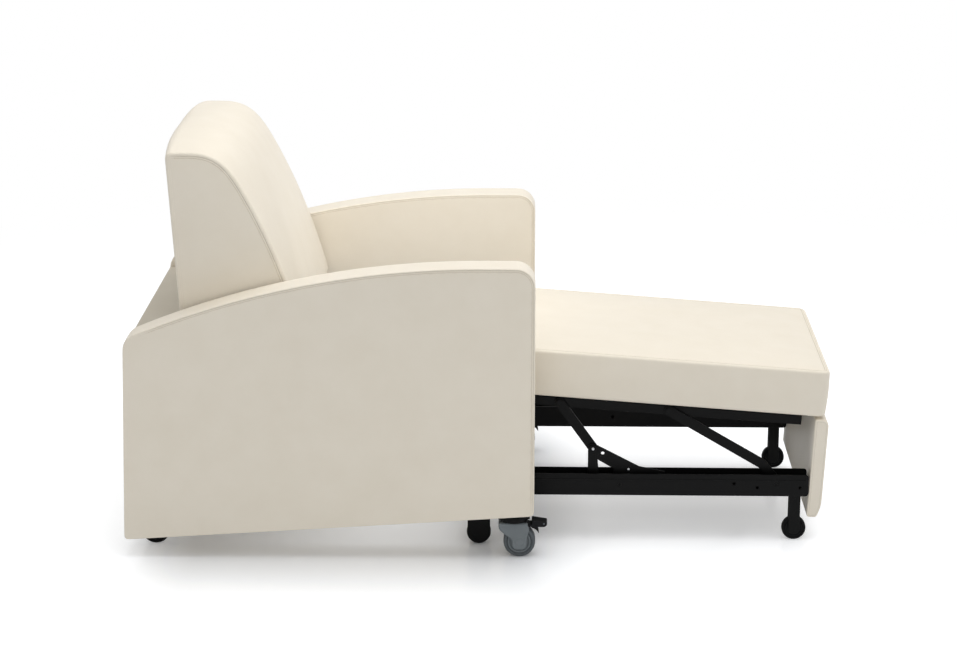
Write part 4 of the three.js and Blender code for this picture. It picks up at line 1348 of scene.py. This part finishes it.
@dataclass
class Wheels:
    """Every wheel and roller of the chair, placed by the CAD nodes."""

    axle: float = 4 * MM
    roller_stud: float = 5 * MM
    clearance: float = 0.4 * MM
    wheel_hub: float = 0.74
    roller_hub: float = 0.7

    def add(self, node: str, axle: float, tread: Finish, hub: Finish, hub_share: float) -> None:
        """Makes the wheel that stands for a CAD node.

        Args:
            node: The CAD node.
            axle: Radius of its axle.
            tread: Finish of the tread.
            hub: Finish of the hub.
            hub_share: The hub's share of the radius.
        """
        low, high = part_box(node)
        centre, radius, width = (low + high) / 2, (high.z - low.z) / 2, high.y - low.y
        bore = axle + self.clearance
        Wheel(node, body_of(node), node, centre, radius, width, bore, tread, hub, hub_share).build()

    def build(self) -> None:
        """Makes the wheels."""
        for _, word in SIDES:
            self.add(f"caster_wheel_{word}", self.axle, Finish.TREAD_GREY, Finish.HOOD, self.wheel_hub)
            for name in ("rear_wheel", "front_wheel", "carriage_rear_wheel"):
                self.add(f"{name}_{word}", self.axle, Finish.TREAD_BLACK, Finish.NYLON, self.wheel_hub)
            self.add(f"guide_roller_{word}", self.roller_stud, Finish.NYLON, Finish.NYLON, self.roller_hub)


@dataclass
class Casters:
    """Hoods, pedals and claws of the two braked casters."""

    hood_edge: float = 1.6 * MM
    pedal_edge: float = 1.4 * MM
    hook_edge: float = 0.9 * MM

    def build(self) -> None:
        """Dresses the caster pieces."""
        for _, word in SIDES:
            softened_node(f"caster_hood_{word}", Finish.HOOD, self.hood_edge)
            softened_node(f"brake_pedal_{word}", Finish.NYLON, self.pedal_edge)
            softened_node(f"brake_hook_{word}", Finish.NYLON, self.hook_edge)


@dataclass
class SmallParts:
    """Rivets, caps and the folded bead of the rails: pieces too small for a CAD node of their own."""

    link_rivet: Point = (131 * MM, 211 * MM)
    link_face: float = 255.4 * MM
    link_dome: Point = (3.4 * MM, 1.6 * MM)
    bracket_rivet: Point = (211 * MM, 162 * MM)
    bracket_face: float = 252.1 * MM
    bracket_dome: Point = (3.4 * MM, 1.4 * MM)
    bead: float = 1.2 * MM
    bead_face: float = 271 * MM
    bead_height: float = 145 * MM
    bead_inset: float = 3 * MM
    bead_shorter: float = 10 * MM
    caster_middle: float = 362 * MM
    caster_setback: float = 44 * MM
    cheek_half: float = 21.5 * MM
    axle: Point = (12 * MM, 35 * MM)
    axle_dome: Point = (9 * MM, 1.2 * MM)
    pedal_half: float = 14 * MM
    pedal_tip: Point = (66 * MM, 77 * MM)
    pedal_dome: Point = (2.2 * MM, 0.6 * MM)

    def add_rivet(self, name: str, body: str, spot: Point, face: float, dome: Point) -> None:
        """Adds a rivet head on the outer side of a face.

        Args:
            name: The piece's name.
            body: Its body.
            spot: Its distance ahead of the arms' front and its height.
            face: The face's place across, less than 0 on the right.
            dome: Its radius and height.
        """
        place = Vector((spot[0] + ORIGIN_SHIFT, face, spot[1]))
        finished(domed_head(place, *dome, math.copysign(1.0, face)), name, Finish.ZINC, body, 50)

    def add_rail_bead(self, side: float, word: str) -> None:
        """Runs the fold line along the outer face of a rail.

        Args:
            side: 1 for +Y and -1 for -Y.
            word: The side's word.
        """
        low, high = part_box(f"carriage_rail_{word}")
        shape = bmesh.new()
        verts = []
        for a in (math.pi * k / 6 for k in range(7)):
            outward = side * (self.bead_face + self.bead * math.sin(a))
            height = self.bead_height + self.bead * math.cos(a)
            verts.append(shape.verts.new((low.x + self.bead_inset, outward, height)))
        out = bmesh.ops.extrude_face_region(shape, geom=[shape.faces.new(verts)])["geom"]
        moved = [g for g in out if isinstance(g, bmesh.types.BMVert)]
        bmesh.ops.translate(shape, verts=moved, vec=(high.x - low.x - self.bead_shorter, 0, 0))
        bmesh.ops.recalc_face_normals(shape, faces=shape.faces)
        finished(shape, f"rail_bead_{word}", Finish.STEEL, "carriage", 60)

    def add_caster_caps(self, side: float, word: str, where: str, face: float) -> None:
        """Adds the axle cap and the pedal's dimple on one face of a caster.

        Args:
            side: 1 for the caster on +Y and -1 for the one on -Y.
            word: The side's word.
            where: The face's word.
            face: 1 for the outer face and -1 for the inner one.
        """
        middle = Vector((ORIGIN_SHIFT - self.caster_setback, side * self.caster_middle, 0))
        out = side * face
        axle = middle + Vector((self.axle[0], out * self.cheek_half, self.axle[1]))
        cap = domed_head(axle, *self.axle_dome, out, 28)
        finished(cap, f"axle_cap_{where}_{word}", Finish.HOOD, f"caster_{word}", 50)
        tip = middle + Vector((self.pedal_tip[0], out * self.pedal_half, self.pedal_tip[1]))
        dimple = domed_head(tip, *self.pedal_dome, out, 16)
        finished(dimple, f"pedal_dimple_{where}_{word}", Finish.TREAD_GREY, f"brake_{word}", 50)

    def build(self) -> None:
        """Makes the small parts of both sides."""
        for side, word in SIDES:
            self.add_rail_bead(side, word)
            link, bracket = side * self.link_face, side * self.bracket_face
            self.add_rivet(f"link_rivet_{word}", "rear_links", self.link_rivet, link, self.link_dome)
            self.add_rivet(f"bracket_rivet_{word}", "carriage", self.bracket_rivet, bracket, self.bracket_dome)
            for where, face in (("outer", 1), ("inner", -1)):
                self.add_caster_caps(side, word, where, face)


# ------------------------------------------------------------------------------------------------------ the studio


@dataclass(frozen=True)
class Lamp:
    """A square soft lamp, with its side in metres, its power in watts and the width of its beam in degrees."""

    name: str
    place: tuple[float, float, float]
    aim: tuple[float, float, float]
    size: float
    watts: float
    spread_deg: float = 180

    def hang(self) -> None:
        """Hangs the lamp."""
        data = bpy.data.lights.new(self.name, "AREA")
        data.shape = "SQUARE"
        data.size = self.size
        data.energy = self.watts
        data.spread = math.radians(self.spread_deg)
        lamp = bpy.data.objects.new(self.name, data)
        lamp.location = self.place
        lamp.rotation_euler = (Vector(self.aim) - Vector(self.place)).to_track_quat("-Z", "Y").to_euler()
        lamp.visible_camera = False
        bpy.context.scene.collection.objects.link(lamp)


@dataclass
class Studio:
    """Floor, lamps, world and camera."""

    lens_mm: float = 92.16
    sensor_mm: float = 36.0
    camera_place: Vector = field(default_factory=lambda: Vector((-0.013 + ORIGIN_SHIFT, -5.449, 1.953)))
    camera_turn_deg: tuple[float, float, float] = (74.4, 0.0, 1.23)
    floor_half: float = 14
    fill: float = 0.58
    fill_ahead: float = 0.2
    gloss_level: float = 0.7
    lamps: tuple[Lamp, ...] = (
        Lamp("overhead", (0.3, -0.1, 3.6), (0, 0, 0.4), 3.2, 67),
        Lamp("front", (3.4, 0.3, 2.0), (0, 0, 0.4), 2.0, 3),
        Lamp("side", (0.2, -4.6, 1.6), (0, 0, 0.4), 3.0, 5),
        Lamp("arm_fill", (-0.12, -0.29, 0.72), (-0.1, 0.32, 0.58), 0.4, 0.5, 110),
    )

    def add_camera(self) -> None:
        """Sets the photograph's camera."""
        data = bpy.data.cameras.new("camera")
        data.sensor_width = self.sensor_mm
        data.lens = self.lens_mm
        data.clip_end = 60
        camera = bpy.data.objects.new("camera", data)
        camera.location = self.camera_place
        camera.rotation_euler = [math.radians(a) for a in self.camera_turn_deg]
        bpy.context.scene.collection.objects.link(camera)
        bpy.context.scene.camera = camera

    def add_floor(self) -> None:
        """Lays the pale floor."""
        shape = bmesh.new()
        bmesh.ops.create_grid(shape, x_segments=2, y_segments=2, size=self.floor_half)
        mesh = bpy.data.meshes.new("floor")
        shape.to_mesh(mesh)
        shape.free()
        floor = bpy.data.objects.new("floor", mesh)
        bpy.context.scene.collection.objects.link(floor)
        floor.data.materials.append(StudioFloor().build())

    def add_world(self) -> None:
        """Fills the room with even light, a little more of it from ahead, and shows white to the eye."""
        world = bpy.data.worlds.new("studio")
        bpy.context.scene.world = world
        world.use_nodes = True
        tree = world.node_tree
        tree.nodes.clear()
        camera = add_node(tree, "LightPath", out="Is Camera Ray")
        through = add_node(tree, "LightPath", out="Is Transmission Ray")
        eye = add_node(tree, "Math", {"operation": "MAXIMUM"}, _0=camera, _1=through)
        aim = add_node(tree, "TexCoord", out="Generated")
        forward = add_node(tree, "SeparateXYZ", out="X", Vector=aim)
        low, high = self.fill * (1 - self.fill_ahead), self.fill * (1 + self.fill_ahead)
        soft = add_node(tree, "MapRange", {"From Min": -1.0, "To Min": low, "To Max": high}, Value=forward)
        glossy = add_node(tree, "LightPath", out="Is Glossy Ray")
        dim = add_node(tree, "MapRange", {"To Max": self.gloss_level}, Value=glossy, To_Min=soft)
        level = add_node(tree, "Math", {"operation": "MAXIMUM"}, _0=eye, _1=dim)
        sky = add_node(tree, "Background", {"Color": (1, 1, 1, 1)}, Strength=level)
        tree.links.new(sky, tree.nodes.new("ShaderNodeOutputWorld").inputs["Surface"])

    def build(self) -> None:
        """Makes the studio."""
        self.add_camera()
        self.add_floor()
        self.add_world()
        for lamp in self.lamps:
            lamp.hang()
        bpy.context.scene.view_settings.view_transform = "Standard"


def main() -> None:
    """Builds the scene and reports each piece."""
    Studio().build()
    Shell().build()
    Seat().build()
    Back().build()
    FrontBoard().build()
    SteelFrame().build()
    Wheels().build()
    Casters().build()
    SmallParts().build()


if __name__ == "__main__":
    main()
